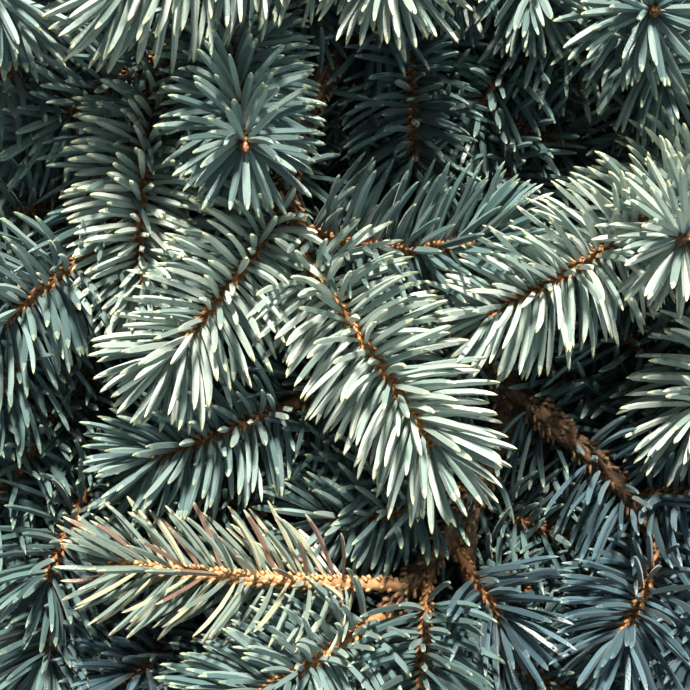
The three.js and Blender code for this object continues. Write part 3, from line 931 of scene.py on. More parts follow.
@dataclass
class NeedleCoat:
    """Clothes shoots in needles, each on its woody peg.

    Needles follow one another round the twig by a golden turn. Their lean closes towards the
    twig's tip, less so on a rosette, and opens by a lift on its upper side. The sweep bends them
    forward, and the pulls are what their two halves get of the shoot's upward pull. The last ones
    stand close together in the tip zone. Where another twig, the wood or the ground is in its
    way, a needle is cut to one of the checked shares of its length, and left out if too short.
    """

    growth: Growth
    seed: int = 11
    length: float = 18.0
    length_spread: tuple[float, float] = (0.84, 1.06)
    shortest_share: float = 0.4
    half_width: float = 0.72
    half_depth: float = 0.64
    stout_spread: float = 0.07
    golden_turn: float = 137.508
    roll_spread: float = 7.0
    combing: float = 0.07
    lean_at_tip: float = 36.0
    rosette_lean: float = 58.0
    lean_spread: float = 6.0
    lift: float = 14.0
    forward_sweep: float = 9.0
    sweep_spread: float = 0.3
    side_spread: float = 0.06
    pulls: tuple[float, float] = (0.5, 1.5)
    tip_needles: int = 16
    tip_zone: tuple[float, float] = (0.95, 1.0)
    tip_leans: tuple[float, float] = (0.35, 1.05)
    sparse_below: float = 0.5
    short_from: float = 0.93
    short_share: float = 0.86
    foot_depth: float = 0.8
    peg_slant: float = 0.3
    peg_height: float = 0.35
    old_peg_height: float = 1.1
    peg_sides: int = 3
    peg_radii: tuple[float, float] = (0.62, 0.52)
    peg_overlaps: tuple[float, float] = (0.3, 0.25)
    pegs_left: float = 0.6
    clear_of_axis: float = 2.4
    clear_of_wood: float = 0.7
    ground_gap: float = 0.45
    checks: tuple[float, ...] = (0.3, 0.45, 0.6, 0.7, 0.8, 0.9, 1.0)

    def __post_init__(self) -> None:
        """Seeds the coat's own numbers and samples the limbs that needles keep off."""
        self.rng = np.random.default_rng(self.seed)
        limbs = self.growth.limbs.values()
        self.wood = np.concatenate([limb.curve.samples for limb in limbs])
        radii = [np.linspace(*limb.radii, AXIS_STEPS + 1) for limb in limbs]
        self.wood_radii = np.concatenate(radii)

    def _free(
        self, roots: np.ndarray, ways: np.ndarray, lengths: np.ndarray, shoot: Shoot
    ) -> np.ndarray:
        """Finds the share of each needle that keeps off other twigs, the limbs and the ground.

        Args:
            roots: Where the needles spring from, by rows.
            ways: Their directions.
            lengths: Their lengths.
            shoot: The twig that bears them.

        Returns:
            One share a needle.
        """
        checks = np.array(self.checks)
        rivals = [other.curve.samples for other in self.growth.shoots if other is not shoot]
        points = roots[:, None] + ways[:, None] * (lengths[:, None] * checks)[..., None]
        flat = points.reshape(-1, 3)
        clear = spans(flat, np.concatenate(rivals)) > self.clear_of_axis
        gap = np.linalg.norm(flat[:, None] - self.wood[None], axis=2) - self.wood_radii
        clear &= gap.min(1) > self.clear_of_wood
        clear &= flat[:, 2] > self.ground_gap
        clear = clear.reshape(points.shape[:2])
        blocked = np.where(clear.all(1), len(checks), (~clear).argmax(1))
        shares = np.concatenate([[0.0], checks])[blocked]
        drop = np.maximum(-ways[:, 2] * lengths, 1e-9)
        to_ground = np.where(ways[:, 2] < 0, (roots[:, 2] - self.ground_gap) / drop, 1.0)
        return np.minimum(shares, to_ground)

    def dress(
        self,
        shoot: Shoot,
        shares: tuple[float, float, float],
        needles: Parts,
        pegs: Parts,
        wood: Wood = Wood.BROWN,
    ) -> None:
        """Clothes one shoot.

        Args:
            shoot: The twig.
            shares: How many needles get each of three shades.
            needles: Where its needles go.
            pegs: Where their pegs go.
            wood: The pegs' wood.
        """
        curve, rng = shoot.curve, self.rng
        length = curve.length
        per_mm = shoot.detail.value.per_mm
        places = (np.arange(int(per_mm * length)) + 0.5) / per_mm
        places = places[places > shoot.bare_foot]
        last_needles = 0 if shoot.kept < self.sparse_below else self.tip_needles
        t = np.clip(places / length, 0, 1)
        t = np.concatenate([t, rng.uniform(*self.tip_zone, last_needles)])
        count = len(t)
        ending = np.arange(count) >= len(places)
        roll = np.radians(self.golden_turn) * np.arange(count)
        roll = roll + np.radians(rng.normal(0, self.roll_spread, count))
        roll = (roll + math.pi) % math.tau - math.pi
        roll = roll + shoot.parting * np.sin(roll) + self.combing * np.sin(2 * roll)
        tangents, across, over = curve.frames(t)
        # Roll 0 is up on a twig that lies, so its needles part along its upper side.
        outward = across * np.sin(roll)[:, None] + over * np.cos(roll)[:, None]
        last = self.rosette_lean if shoot.rosette else self.lean_at_tip
        lean = mix(shoot.lean, last, t**3) + rng.normal(0, self.lean_spread, count)
        lean += (0.0 if shoot.rosette else self.lift) * np.clip(np.cos(roll), 0, 1) ** 2
        lean = np.radians(np.where(ending, last * rng.uniform(*self.tip_leans, count), lean))
        sweep = np.radians(self.forward_sweep * rng.normal(1, self.sweep_spread, count))
        side = np.cross(tangents, outward) * rng.normal(0, self.side_spread, count)[:, None]
        ways = []
        for turn, pull in zip((lean + sweep, lean - sweep), self.pulls):
            way = tangents * np.cos(turn)[:, None] + outward * np.sin(turn)[:, None] + side
            way[:, 2] += shoot.upward_pull * pull
            ways.append(way / np.linalg.norm(way, axis=1, keepdims=True))
        first, second = ways
        radius = shoot.radius(t)
        foot = curve.at(t) + outward * (radius * self.foot_depth)[:, None]
        height = radius + (self.old_peg_height if shoot.old else self.peg_height)
        roots = curve.at(t) + (outward + tangents * self.peg_slant) * height[:, None]
        sizes = self.length * shoot.needle_share * mix(*self.length_spread, rng.random(count))
        sizes *= np.where(t > self.short_from, self.short_share, 1.0)
        free = self._free(roots, unit(first + second), sizes, shoot)
        keep = free >= self.shortest_share
        # Needles that fell have left their pegs behind.
        left, leafy = rng.random(count) < self.pegs_left, t * length > shoot.needles_from
        pegged = left if shoot.old else keep & (left | leafy)
        keep &= leafy & (rng.random(count) < shoot.kept)
        sizes = (sizes * free)[keep]
        if keep.any():
            bars = roots[keep], first[keep], second[keep], outward[keep], sizes
            self._add_needles(*bars, shoot, shares, needles)
        if shoot.pegs:
            stems = foot[pegged], roots[pegged], tangents[pegged], first[pegged]
            self._add_pegs(*stems, wood, pegs)

    def _add_needles(
        self,
        roots: np.ndarray,
        first: np.ndarray,
        second: np.ndarray,
        outward: np.ndarray,
        sizes: np.ndarray,
        shoot: Shoot,
        shares: tuple[float, float, float],
        needles: Parts,
    ) -> None:
        """Adds needles as four-sided bars that bend forward and end in a short blunt point.

        Args:
            roots: Where they spring from, by rows.
            first: The ways in which they set out.
            second: The ways in which they end.
            outward: The ways straight out from the twig.
            sizes: Their lengths.
            shoot: The twig.
            shares: How many get each of three shades.
            needles: Where they go.
        """
        cut = shoot.detail.value
        stations, girths = np.array(cut.stations), np.array(cut.girths)
        count, rings = len(roots), len(stations)
        bend = roots + first * (sizes / 2)[:, None]
        tips = bend + second * (sizes / 2)[:, None]
        s = stations[None, :, None]
        centre = (1 - s) ** 2 * roots[:, None] + 2 * (1 - s) * s * bend[:, None]
        centre = centre + s**2 * tips[:, None]
        way = unit((1 - s) * first[:, None] + s * second[:, None])
        side = unit(np.cross(first, outward + 1e-6))[:, None]
        over = unit(np.cross(side, way))
        stout = self.rng.normal(1, self.stout_spread, count)[:, None, None] * girths[None, :, None]
        stout = stout * shoot.girth
        wide, deep = side * (stout * self.half_width), over * (stout * self.half_depth)
        corners = np.stack([centre + wide, centre + deep, centre - wide, centre - deep], 2)
        points = np.concatenate([corners.reshape(count, -1, 3), np.stack([roots, tips], 1)], 1)
        faces = tube_faces(rings, NEEDLE_SIDES)
        shade = self.rng.choice(len(shares), count, p=shares)
        slots = np.repeat(shade[:, None], len(faces), 1)
        # The last ring of walls fades into the tip's colour, which the tip's own faces have.
        walls = NEEDLE_SIDES * (rings - 1)
        slots[:, walls - NEEDLE_SIDES : walls] = FADE_SLOT
        slots[:, walls + NEEDLE_SIDES :] = TIP_SLOT
        needles.add_copies(points, faces, slots.ravel())

    def _add_pegs(
        self,
        foot: np.ndarray,
        roots: np.ndarray,
        tangents: np.ndarray,
        ways: np.ndarray,
        wood: Wood,
        pegs: Parts,
    ) -> None:
        """Adds the short woody pegs that needles sit on.

        Args:
            foot: Where they leave the twig, by rows.
            roots: Where the needles spring from them.
            tangents: The twig's ways there.
            ways: The ways in which the needles set out.
            wood: Their wood.
            pegs: Where they go.
        """
        side = unit(np.cross(ways, tangents))
        over = unit(np.cross(side, ways))
        below, above = self.peg_overlaps
        starts, ends = foot - tangents * below, roots + ways * above
        turns = ring_turns(self.peg_sides)
        ring = side[:, None] * np.cos(turns)[:, None] + over[:, None] * np.sin(turns)[:, None]
        rings = [end[:, None] + ring * r for end, r in zip((starts, ends), self.peg_radii)]
        points = np.concatenate([*rings, np.stack([starts, ends], 1)], 1)
        pegs.add_copies(points, tube_faces(len(rings), self.peg_sides), wood.value)


@dataclass
class TwigSkin:
    """Young twigs, with shallow ridges that wind round them.

    Each wave is its count round the twig and its turn, in radians, for each millimetre along.
    """

    ring_step: float = 1.0
    least_rings: int = 8
    sides: int = 10
    ridge_height: float = 0.1
    tip_cap: float = 0.3
    waves: tuple[tuple[int, float], tuple[int, float]] = ((3, 2.1), (2, -1.7))

    def add(self, shoot: Shoot, parts: Parts, seed: float, wood: Wood) -> None:
        """Adds a twig as a closed tube.

        Args:
            shoot: The twig.
            parts: Where it goes.
            seed: Moves the pattern from twig to twig.
            wood: Its wood.
        """
        curve, sides = shoot.curve, self.sides
        t = np.linspace(0, 1, max(self.least_rings, int(curve.length / self.ring_step)))
        turns = ring_turns(sides)
        distance = t[:, None] * curve.length
        one, other = (np.sin(n * turns + distance * pace + seed) for n, pace in self.waves)
        wave = one * other
        reach = shoot.radius(t)[:, None] + self.ridge_height * wave
        points = curve.at(t)[:, None] + curve.spokes(t, sides) * reach[..., None]
        end = curve.tip + curve.tangent(1.0) * self.tip_cap * shoot.radii[1]
        ends = np.stack([curve.foot, end])
        values = np.stack([wave * 0.5 + 0.5, np.broadcast_to(distance, wave.shape)], 2)
        values = values.reshape(-1, 2)
        values = np.concatenate([values, values[[0, -1]]])
        corners = np.concatenate([points.reshape(-1, 3), ends])
        parts.add(corners, tube_faces(len(t), sides), wood.value, values)


@dataclass
class BarkSkin:
    """Flaking bark on older wood: a tube whose points are raised in plates and smaller flakes.

    Plates and flakes have a length and a width. A rim is how far from its edge a plate or flake
    reaches its full height, as a share of its size. Shifts move the pattern along and round from
    one limb to the next.
    """

    ring_step: float = 0.6
    least_rings: int = 6
    sides: int = 32
    plate: tuple[float, float] = (3.0, 1.5)
    flake: tuple[float, float] = (1.2, 0.75)
    plate_lift: float = 0.5
    plate_lift_spread: float = 0.3
    plate_rim: float = 0.22
    flake_lift: float = 0.18
    flake_rim: float = 0.3
    flake_shift: float = 50.0
    sunk: float = 0.22
    lump: float = 0.35
    lump_size: float = 6.0
    shifts: tuple[float, float] = (31.0, 17.0)
    cell_key: float = 7.3

    def __post_init__(self) -> None:
        """Starts the mesh that all limbs share."""
        self.mesh = bmesh.new()
        self.values = self.mesh.verts.layers.float_vector.new("along")

    def _cells(
        self, points: np.ndarray, size: tuple[float, float]
    ) -> tuple[np.ndarray, np.ndarray]:
        """Measures plates at points given along and round a limb.

        Args:
            points: Distance along, and two coordinates round the limb, by rows.
            size: A plate's length and width.

        Returns:
            How far each point is from its plate's edge, and a number that is one for each plate.
        """
        long, wide = size
        scaled = points / np.array([long, wide, wide])
        edge, key = np.empty(len(points)), np.empty(len(points))
        for i, spot in enumerate(scaled):
            distances, centres = noise.voronoi(Vector(spot))
            edge[i] = distances[1] - distances[0]
            key[i] = noise.cell(centres[0] * self.cell_key)
        return edge, key

    def add(self, curve: Curve, radius: Callable[[np.ndarray], np.ndarray], seed: float) -> None:
        """Adds a limb.

        Args:
            curve: The limb's course.
            radius: Its radius at shares of its length.
            seed: Moves the pattern from limb to limb.
        """
        rings, sides = max(self.least_rings, int(curve.length / self.ring_step)), self.sides
        t = np.linspace(0, 1, rings)
        turns = ring_turns(sides)
        girth = radius(t)[:, None]
        shift_along, shift_round = (seed * shift for shift in self.shifts)
        along = np.broadcast_to(t[:, None] * curve.length + shift_along, (rings, sides))
        around = girth * np.cos(turns), girth * np.sin(turns) + shift_round
        flat = np.stack([along, *around], 2).reshape(-1, 3)
        edge, key = self._cells(flat, self.plate)
        fine, _ = self._cells(flat + self.flake_shift, self.flake)
        plate = np.clip(edge / self.plate_rim, 0, 1)
        steady = 1 - self.plate_lift_spread
        lift = self.plate_lift * plate * (steady + self.plate_lift_spread * key)
        lift = lift + self.flake_lift * np.clip(fine / self.flake_rim, 0, 1) - self.sunk
        lumps = np.array([noise.noise(Vector(p / self.lump_size)) for p in flat]) * self.lump
        reach = girth.repeat(sides, 1) + (lift + lumps).reshape(rings, sides)
        points = curve.at(t)[:, None] + curve.spokes(t, sides) * reach[..., None]
        values = np.stack([plate, key], 1).reshape(rings, sides, 2)
        self._wrap((points + ROW_SHIFT) * MM, values)

    def _wrap(self, points: np.ndarray, values: np.ndarray) -> None:
        """Wraps a grid round the limb and closes its ends.

        Args:
            points: A place for each ring and side, in metres.
            values: Two numbers for each.
        """
        rings, sides = points.shape[:2]
        grid = bmesh.ops.create_grid(self.mesh, x_segments=rings - 1, y_segments=sides, size=0.5)
        grid = grid["verts"]
        for point in grid:
            ring = round((point.co.x + 0.5) * (rings - 1))
            side = round((point.co.y + 0.5) * sides) % sides
            point[self.values] = (*values[ring, side], 0.0)
            point.co = points[ring, side]
        bmesh.ops.remove_doubles(self.mesh, verts=grid, dist=1e-8)
        grid = [point for point in grid if point.is_valid]
        rims = [edge for point in grid for edge in point.link_edges if edge.is_boundary]
        ends = bmesh.ops.holes_fill(self.mesh, edges=list(set(rims)), sides=sides)["faces"]
        bmesh.ops.poke(self.mesh, faces=ends)
        faces = {face for point in grid for face in point.link_faces}
        bmesh.ops.recalc_face_normals(self.mesh, faces=list(faces))

    def build(self, name: str, finish: "FlakyBark", nodes: Sequence[str] = ()) -> bpy.types.Object:
        """Makes the piece.

        Args:
            name: Its name.
            finish: Its finish.
            nodes: The solids that it stands for.

        Returns:
            The object.
        """
        mesh = bpy.data.meshes.new(name)
        self.mesh.to_mesh(mesh)
        self.mesh.free()
        mesh.shade_smooth()
        return place(mesh, [finish.make(name)], nodes)


@dataclass
class SawnFace:
    """The clean cut at the foot of the main limb."""

    radius: float = 4.95
    segments: int = 48
    rim: float = 0.5
    swell: float = 0.35
    depth: float = 0.3

    def build(self, foot: np.ndarray) -> bpy.types.Object:
        """Makes the face.

        Args:
            foot: The limb's foot, in metres in the row's frame.

        Returns:
            The object.
        """
        face = bmesh.new()
        round_face = {"cap_ends": True, "radius": self.radius * MM, "segments": self.segments}
        bmesh.ops.create_circle(face, **round_face)
        bmesh.ops.inset_region(face, faces=list(face.faces), thickness=self.rim * MM, depth=0.0)
        moved = bmesh.ops.extrude_face_region(face, geom=list(face.faces))
        points = [e for e in moved["geom"] if isinstance(e, bmesh.types.BMVert)]
        bmesh.ops.translate(face, verts=points, vec=(0, 0, self.swell * MM))
        upright = Matrix.Rotation(math.radians(-90), 3, "X")
        bmesh.ops.rotate(face, verts=list(face.verts), matrix=upright)
        spot = (foot[0], foot[1] - self.depth * MM, foot[2])
        bmesh.ops.translate(face, verts=list(face.verts), vec=spot)
        bmesh.ops.recalc_face_normals(face, faces=list(face.faces))
        mesh = bpy.data.meshes.new("sawn_face")
        face.to_mesh(mesh)
        face.free()
        return place(mesh, [SawnWood(foot[0], foot[2]).make("sawn_wood")])


@dataclass
class BudMaker:
    """The scaly buds at twig ends, in five rows of five scales."""

    sides: int = 10
    rings: int = 11
    rows: float = 5.0
    scales: int = 5
    length: float = 4.2
    radius: float = 1.75
    rings_from_to: tuple[float, float] = (0.03, 0.97)
    shoulder: float = 0.8
    bluntness: float = 0.75
    taper: float = 0.25
    scale_lift: float = 0.16
    sunk: float = 0.05
    seated: float = 0.6

    def add(self, shoot: Shoot, parts: Parts, size: float) -> None:
        """Adds the bud at a twig's tip.

        Args:
            shoot: The twig.
            parts: Where the bud goes.
            size: The bud's size against a full one.
        """
        curve, turns = shoot.curve, ring_turns(self.sides)
        tip = np.array([1.0])
        tangent = curve.tangent(tip)[0]
        s = np.linspace(*self.rings_from_to, self.rings)
        egg = np.sin(math.pi * s**self.shoulder) ** self.bluntness * (1 - self.taper * s)
        row = s * self.rows
        # Each row is set off by half a scale, and every scale is lifted at its pointed end.
        phase = (turns[None] * self.scales / math.tau + 0.5 * np.floor(row)[:, None]) % 1
        climb = row[:, None] % 1
        middle = 1 - np.abs(2 * phase - 1)
        shape = egg[:, None] + self.scale_lift * climb * middle - self.sunk
        reach = self.radius * size * shape
        base = curve.tip - tangent * self.seated
        centre = base + tangent[None] * (s * self.length * size)[:, None]
        points = centre[:, None] + curve.spokes(tip, self.sides) * reach[..., None]
        ends = np.stack([base, base + tangent * self.length * size])
        values = np.stack([climb * middle, phase], 2).reshape(-1, 2)
        values = np.concatenate([values, np.zeros((2, 2))])
        corners = np.concatenate([points.reshape(-1, 3), ends])
        parts.add(corners, tube_faces(self.rings, self.sides), 0, values)


class Socket:
    """An output of a shader node. Arithmetic on it adds Math nodes."""

    def __init__(self, graph: "Graph", output: bpy.types.NodeSocket) -> None:
        """Wraps an output of a graph's node."""
        self.graph, self.output = graph, output

    def _math(self, operation: str, *values: "Socket | float") -> "Socket":
        """Adds a Math node, with its values in order."""
        node = self.graph.node("ShaderNodeMath", {"operation": operation}, dict(enumerate(values)))
        return Socket(self.graph, node.outputs[0])

    def __add__(self, other: "Socket | float") -> "Socket":
        """Adds a value."""
        return self._math("ADD", self, other)

    def __sub__(self, other: "Socket | float") -> "Socket":
        """Takes a value away."""
        return self._math("SUBTRACT", self, other)

    def __rsub__(self, other: "Socket | float") -> "Socket":
        """Takes the socket away from a value."""
        return self._math("SUBTRACT", other, self)

    def __mul__(self, other: "Socket | float") -> "Socket":
        """Multiplies by a value."""
        return self._math("MULTIPLY", self, other)

    def __pow__(self, other: float) -> "Socket":
        """Raises to a power."""
        return self._math("POWER", self, other)

    __radd__, __rmul__ = __add__, __mul__

    def clamped(self) -> "Socket":
        """Keeps the value from 0 to 1."""
        return self._math("MINIMUM", self._math("MAXIMUM", self, 0.0), 1.0)

    def sine(self) -> "Socket":
        """Takes the sine of the value."""
        return self._math("SINE", self)


class Graph:
    """The nodes of one material, which ends in a principled surface."""

    def __init__(self, name: str) -> None:
        """Starts a material.

        Args:
            name: Its name.
        """
        self.material = bpy.data.materials.new(name)
        self.material.use_nodes = True
        self.tree = self.material.node_tree
        self.surface = self.tree.nodes["Principled BSDF"]

    def node(
        self, kind: str, settings: dict | None = None, inputs: dict | None = None
    ) -> bpy.types.Node:
        """Adds a node.

        Args:
            kind: Its type.
            settings: Properties, which are set first.
            inputs: Values or links, by socket name or number.

        Returns:
            The node.
        """
        node = self.tree.nodes.new(kind)
        for key, value in (settings or {}).items():
            setattr(node, key, value)
        for key, value in (inputs or {}).items():
            self.feed(node.inputs[key], value)
        return node

    def feed(self, socket: bpy.types.NodeSocket, value: "Socket | float | tuple") -> None:
        """Sets a socket to a value or links it.

        Args:
            socket: The input.
            value: What it gets.
        """
        if isinstance(value, Socket):
            self.tree.links.new(value.output, socket)
        else:
            socket.default_value = value

    def finish(self, **inputs: "Socket | float | tuple") -> bpy.types.Material:
        """Feeds the surface's sockets.

        Args:
            **inputs: Values or links, by socket name with _ for a space.

        Returns:
            The material.
        """
        for key, value in inputs.items():
            self.feed(self.surface.inputs[key.replace("_", " ")], value)
        return self.material

    @property
    def place(self) -> Socket:
        """The point on the object, in metres."""
        return Socket(self, self.node("ShaderNodeTexCoord").outputs["Object"])

    def along(self) -> tuple[Socket, Socket]:
        """Reads the two numbers that a mesh carries on its points.

        Returns:
            Both numbers.
        """
        vector = self.node("ShaderNodeAttribute", {"attribute_name": "along"}).outputs["Vector"]
        split = self.node("ShaderNodeSeparateXYZ", inputs={0: Socket(self, vector)})
        return Socket(self, split.outputs[0]), Socket(self, split.outputs[1])

    def noise(self, scale: float, detail: float) -> Socket:
        """Adds a noise pattern on the object.

        Args:
            scale: Its scale.
            detail: Its detail.

        Returns:
            Values round one half.
        """
        inputs = {"Vector": self.place, "Scale": scale, "Detail": detail}
        return Socket(self, self.node("ShaderNodeTexNoise", inputs=inputs).outputs["Fac"])

    def spots(self, scale: float, gain: float, drop: float, detail: float = 3.0) -> Socket:
        """Adds a noise pattern with its contrast raised.

        Args:
            scale: Its scale.
            gain: What it is multiplied by.
            drop: How far it is lowered then.
            detail: Its detail.

        Returns:
            Values from 0 to 1.
        """
        return (self.noise(scale, detail) * gain - drop).clamped()

    def blend(self, share: Socket, first: Socket | int, second: int) -> Socket:
        """Lays one colour over another.

        Args:
            share: How much of the second.
            first: The colour below, as a socket or as 0xRRGGBB.
            second: The colour on top, as 0xRRGGBB.

        Returns:
            The mixed colour.
        """
        node = self.node("ShaderNodeMix", {"data_type": "RGBA"})
        below = first if isinstance(first, Socket) else linear(first)
        # A Mix node has its sockets for colours after those for numbers and vectors.
        for number, value in zip((0, 6, 7), (share, below, linear(second))):
            self.feed(node.inputs[number], value)
        return Socket(self, node.outputs[2])

    def bump(self, height: Socket, distance: float, strength: float) -> Socket:
        """Raises a relief.

        Args:
            height: The height, from 0 to 1.
            distance: The height in metres that 1 stands for.
            strength: How much of it shows.

        Returns:
            The normal.
        """
        inputs = {"Height": height, "Distance": distance, "Strength": strength}
        return Socket(self, self.node("ShaderNodeBump", inputs=inputs).outputs["Normal"])


# In the finishes below, a pattern of spots is its scale, gain, drop and, where it isn't the usual
# one, its detail. A relief is its scale, its detail, its height in metres and its strength, or
# the last two alone where it raises a pattern that is there already.


@dataclass(frozen=True)
class NeedleWax:
    """A waxy needle, whose bloom is a soft sheen and whose rows of pores are raised."""

    colour: int
    roughness: float = 0.42
    gloss: float = 0.7
    bloom: float = 0.25
    bloom_roughness: float = 0.45
    bloom_tint: int = 0xE8F2F2
    pores: tuple[float, ...] = (2600.0, 2.4, 0.7, 1.0)
    pore_relief: tuple[float, float] = (0.00008, 0.5)

    def make(self, name: str) -> bpy.types.Material:
        """Makes the material.

        Args:
            name: Its name.

        Returns:
            The material.
        """
        graph = Graph(name)
        return graph.finish(
            Base_Color=linear(self.colour),
            Roughness=self.roughness,
            Specular_IOR_Level=self.gloss,
            Sheen_Weight=self.bloom,
            Sheen_Roughness=self.bloom_roughness,
            Sheen_Tint=linear(self.bloom_tint),
            Normal=graph.bump(graph.spots(*self.pores), *self.pore_relief),
        )


@dataclass(frozen=True)
class PegWood:
    """The mottled wood of a peg."""

    dark: int = 0x74502F
    light: int = 0xC8935A
    mottle: tuple[float, ...] = (900.0, 2.0, 0.5)
    roughness: float = 0.6

    def make(self, name: str) -> bpy.types.Material:
        """Makes the material.

        Args:
            name: Its name.

        Returns:
            The material.
        """
        graph = Graph(name)
        colour = graph.blend(graph.spots(*self.mottle), self.dark, self.light)
        return graph.finish(Base_Color=colour, Roughness=self.roughness)


@dataclass(frozen=True)
class TwigBark:
    """A young twig's bark, paler on its ridges."""

    dark: int = 0x4A2F20
    light: int = 0x774E30
    ridge: int = 0xB08252
    mottle: tuple[float, ...] = (420.0, 2.2, 0.6)
    relief: tuple[float, ...] = (1500.0, 3.0, 0.00012, 0.8)
    roughness: float = 0.62

    def make(self, name: str) -> bpy.types.Material:
        """Makes the material.

        Args:
            name: Its name.

        Returns:
            The material.
        """
        graph = Graph(name)
        ridge, _ = graph.along()
        mottle = graph.spots(*self.mottle)
        colour = graph.blend(mottle, self.dark, self.light)
        colour = graph.blend((ridge * mottle).clamped(), colour, self.ridge)
        return rough_wood(graph, colour, self.roughness, self.relief)


@dataclass(frozen=True)
class FlakyBark:
    """Grey-brown bark in plates, some of them worn pale, with dark cracks deepened by painted
    shade.
    """

    dark: int = 0x3A2A20
    light: int = 0x6E5340
    worn: int = 0xA88D6C
    crack: int = 0x100B08
    mottle: tuple[float, ...] = (330.0, 2.4, 0.7, 5.0)
    specks: tuple[float, ...] = (1100.0, 3.0, 1.5, 4.0)
    worn_plates: float = 0.3
    worn_specks: float = 0.7
    crack_width: float = 1.6
    crack_share: float = 0.95
    relief: tuple[float, ...] = (1400.0, 5.0, 0.0004, 1.0)
    roughness: float = 0.88

    def make(self, name: str) -> bpy.types.Material:
        """Makes the material.

        Args:
            name: Its name.

        Returns:
            The material.
        """
        graph = Graph(name)
        plate, key = graph.along()
        mottle, specks = graph.spots(*self.mottle), graph.spots(*self.specks)
        worn = (key * self.worn_plates + mottle * specks * self.worn_specks).clamped()
        # The cracks darken towards each plate's edge: partly the bark's own dark, deepened to near
        # black as painted shade.
        crack = ((1.0 - plate) ** self.crack_width * self.crack_share).clamped()
        colour = graph.blend(mottle, self.dark, self.light)
        colour = graph.blend(crack, graph.blend(worn, colour, self.worn), self.crack)
        return rough_wood(graph, colour, self.roughness, self.relief)


@dataclass(frozen=True)
class BudScales:
    """A bud's papery scales, with pale margins."""

    dark: int = 0x542A16
    light: int = 0x7A4526
    margin: int = 0xC29A70
    mottle: tuple[float, ...] = (700.0, 2.0, 0.5)
    margin_width: float = 1.5
    relief: tuple[float, ...] = (2200.0, 3.0, 0.0001, 0.6)
    roughness: float = 0.5

    def make(self, name: str) -> bpy.types.Material:
        """Makes the material.

        Args:
            name: Its name.

        Returns:
            The material.
        """
        graph = Graph(name)
        lifted, _ = graph.along()
        colour = graph.blend(graph.spots(*self.mottle), self.dark, self.light)
        colour = graph.blend((lifted**self.margin_width).clamped(), colour, self.margin)
        return rough_wood(graph, colour, self.roughness, self.relief)


@dataclass(frozen=True)
class SawnWood:
    """Pale sawn wood with year rings round its pith and a dark rind.

    The pith's place, the rings' width and their sway are in metres, and the rind starts at so many
    millimetres from the pith. The sway is a noise of some scale and detail, and its reach, from
    which its middle is taken away.
    """

    pith_x: float
    pith_z: float
    ring_width: float = 0.00052
    sway: tuple[float, float, float] = (180.0, 5.0, 0.0011)
    sway_middle: float = 0.0005
    rind_from: float = 4.1
    rind_edge: float = 4.0
    early: int = 0xC4A97C
    late: int = 0x8E6640
    rind: int = 0x33231A
    stains: tuple[float, ...] = (520.0, 1.6, 0.7, 5.0)
    relief: tuple[float, float] = (0.00004, 0.5)
    roughness: float = 0.75

    def make(self, name: str) -> bpy.types.Material:
        """Makes the material.

        Args:
            name: Its name.

        Returns:
            The material.
        """
        graph = Graph(name)
        split = graph.node("ShaderNodeSeparateXYZ", inputs={0: graph.place})
        x = Socket(graph, split.outputs[0]) - self.pith_x
        z = Socket(graph, split.outputs[2]) - self.pith_z
        scale, detail, reach = self.sway
        radius = (x * x + z * z) ** 0.5 + graph.noise(scale, detail) * reach - self.sway_middle
        rings = ((radius * (math.tau / self.ring_width)).sine() * 0.5 + 0.5) ** 3.0
        rind = ((radius * 1000.0 - self.rind_from) * self.rind_edge).clamped()
        colour = graph.blend(rings, self.early, self.late)
        colour = graph.blend(graph.spots(*self.stains), colour, self.late)
        colour = graph.blend(rind, colour, self.rind)
        relief = graph.bump(rings, *self.relief)
        return graph.finish(Base_Color=colour, Roughness=self.roughness, Normal=relief)


@dataclass(frozen=True)
class PaleFloor:
    """A plain pale floor."""

    colour: int = 0xA3A29E
    roughness: float = 0.9

    def make(self, name: str) -> bpy.types.Material:
        """Makes the material, under a name."""
        return Graph(name).finish(Base_Color=linear(self.colour), Roughness=self.roughness)


def rough_wood(
    graph: Graph, colour: Socket, roughness: float, relief: tuple[float, ...]
) -> bpy.types.Material:
    """Finishes a material with a fine relief of noise.

    Args:
        graph: Its nodes.
        colour: Its colour.
        roughness: Its roughness.
        relief: The noise's scale and detail, its height in metres and its strength.

    Returns:
        The material.
    """
    scale, detail, height, strength = relief
    normal = graph.bump(graph.noise(scale, detail), height, strength)
    return graph.finish(Base_Color=colour, Roughness=roughness, Normal=normal)


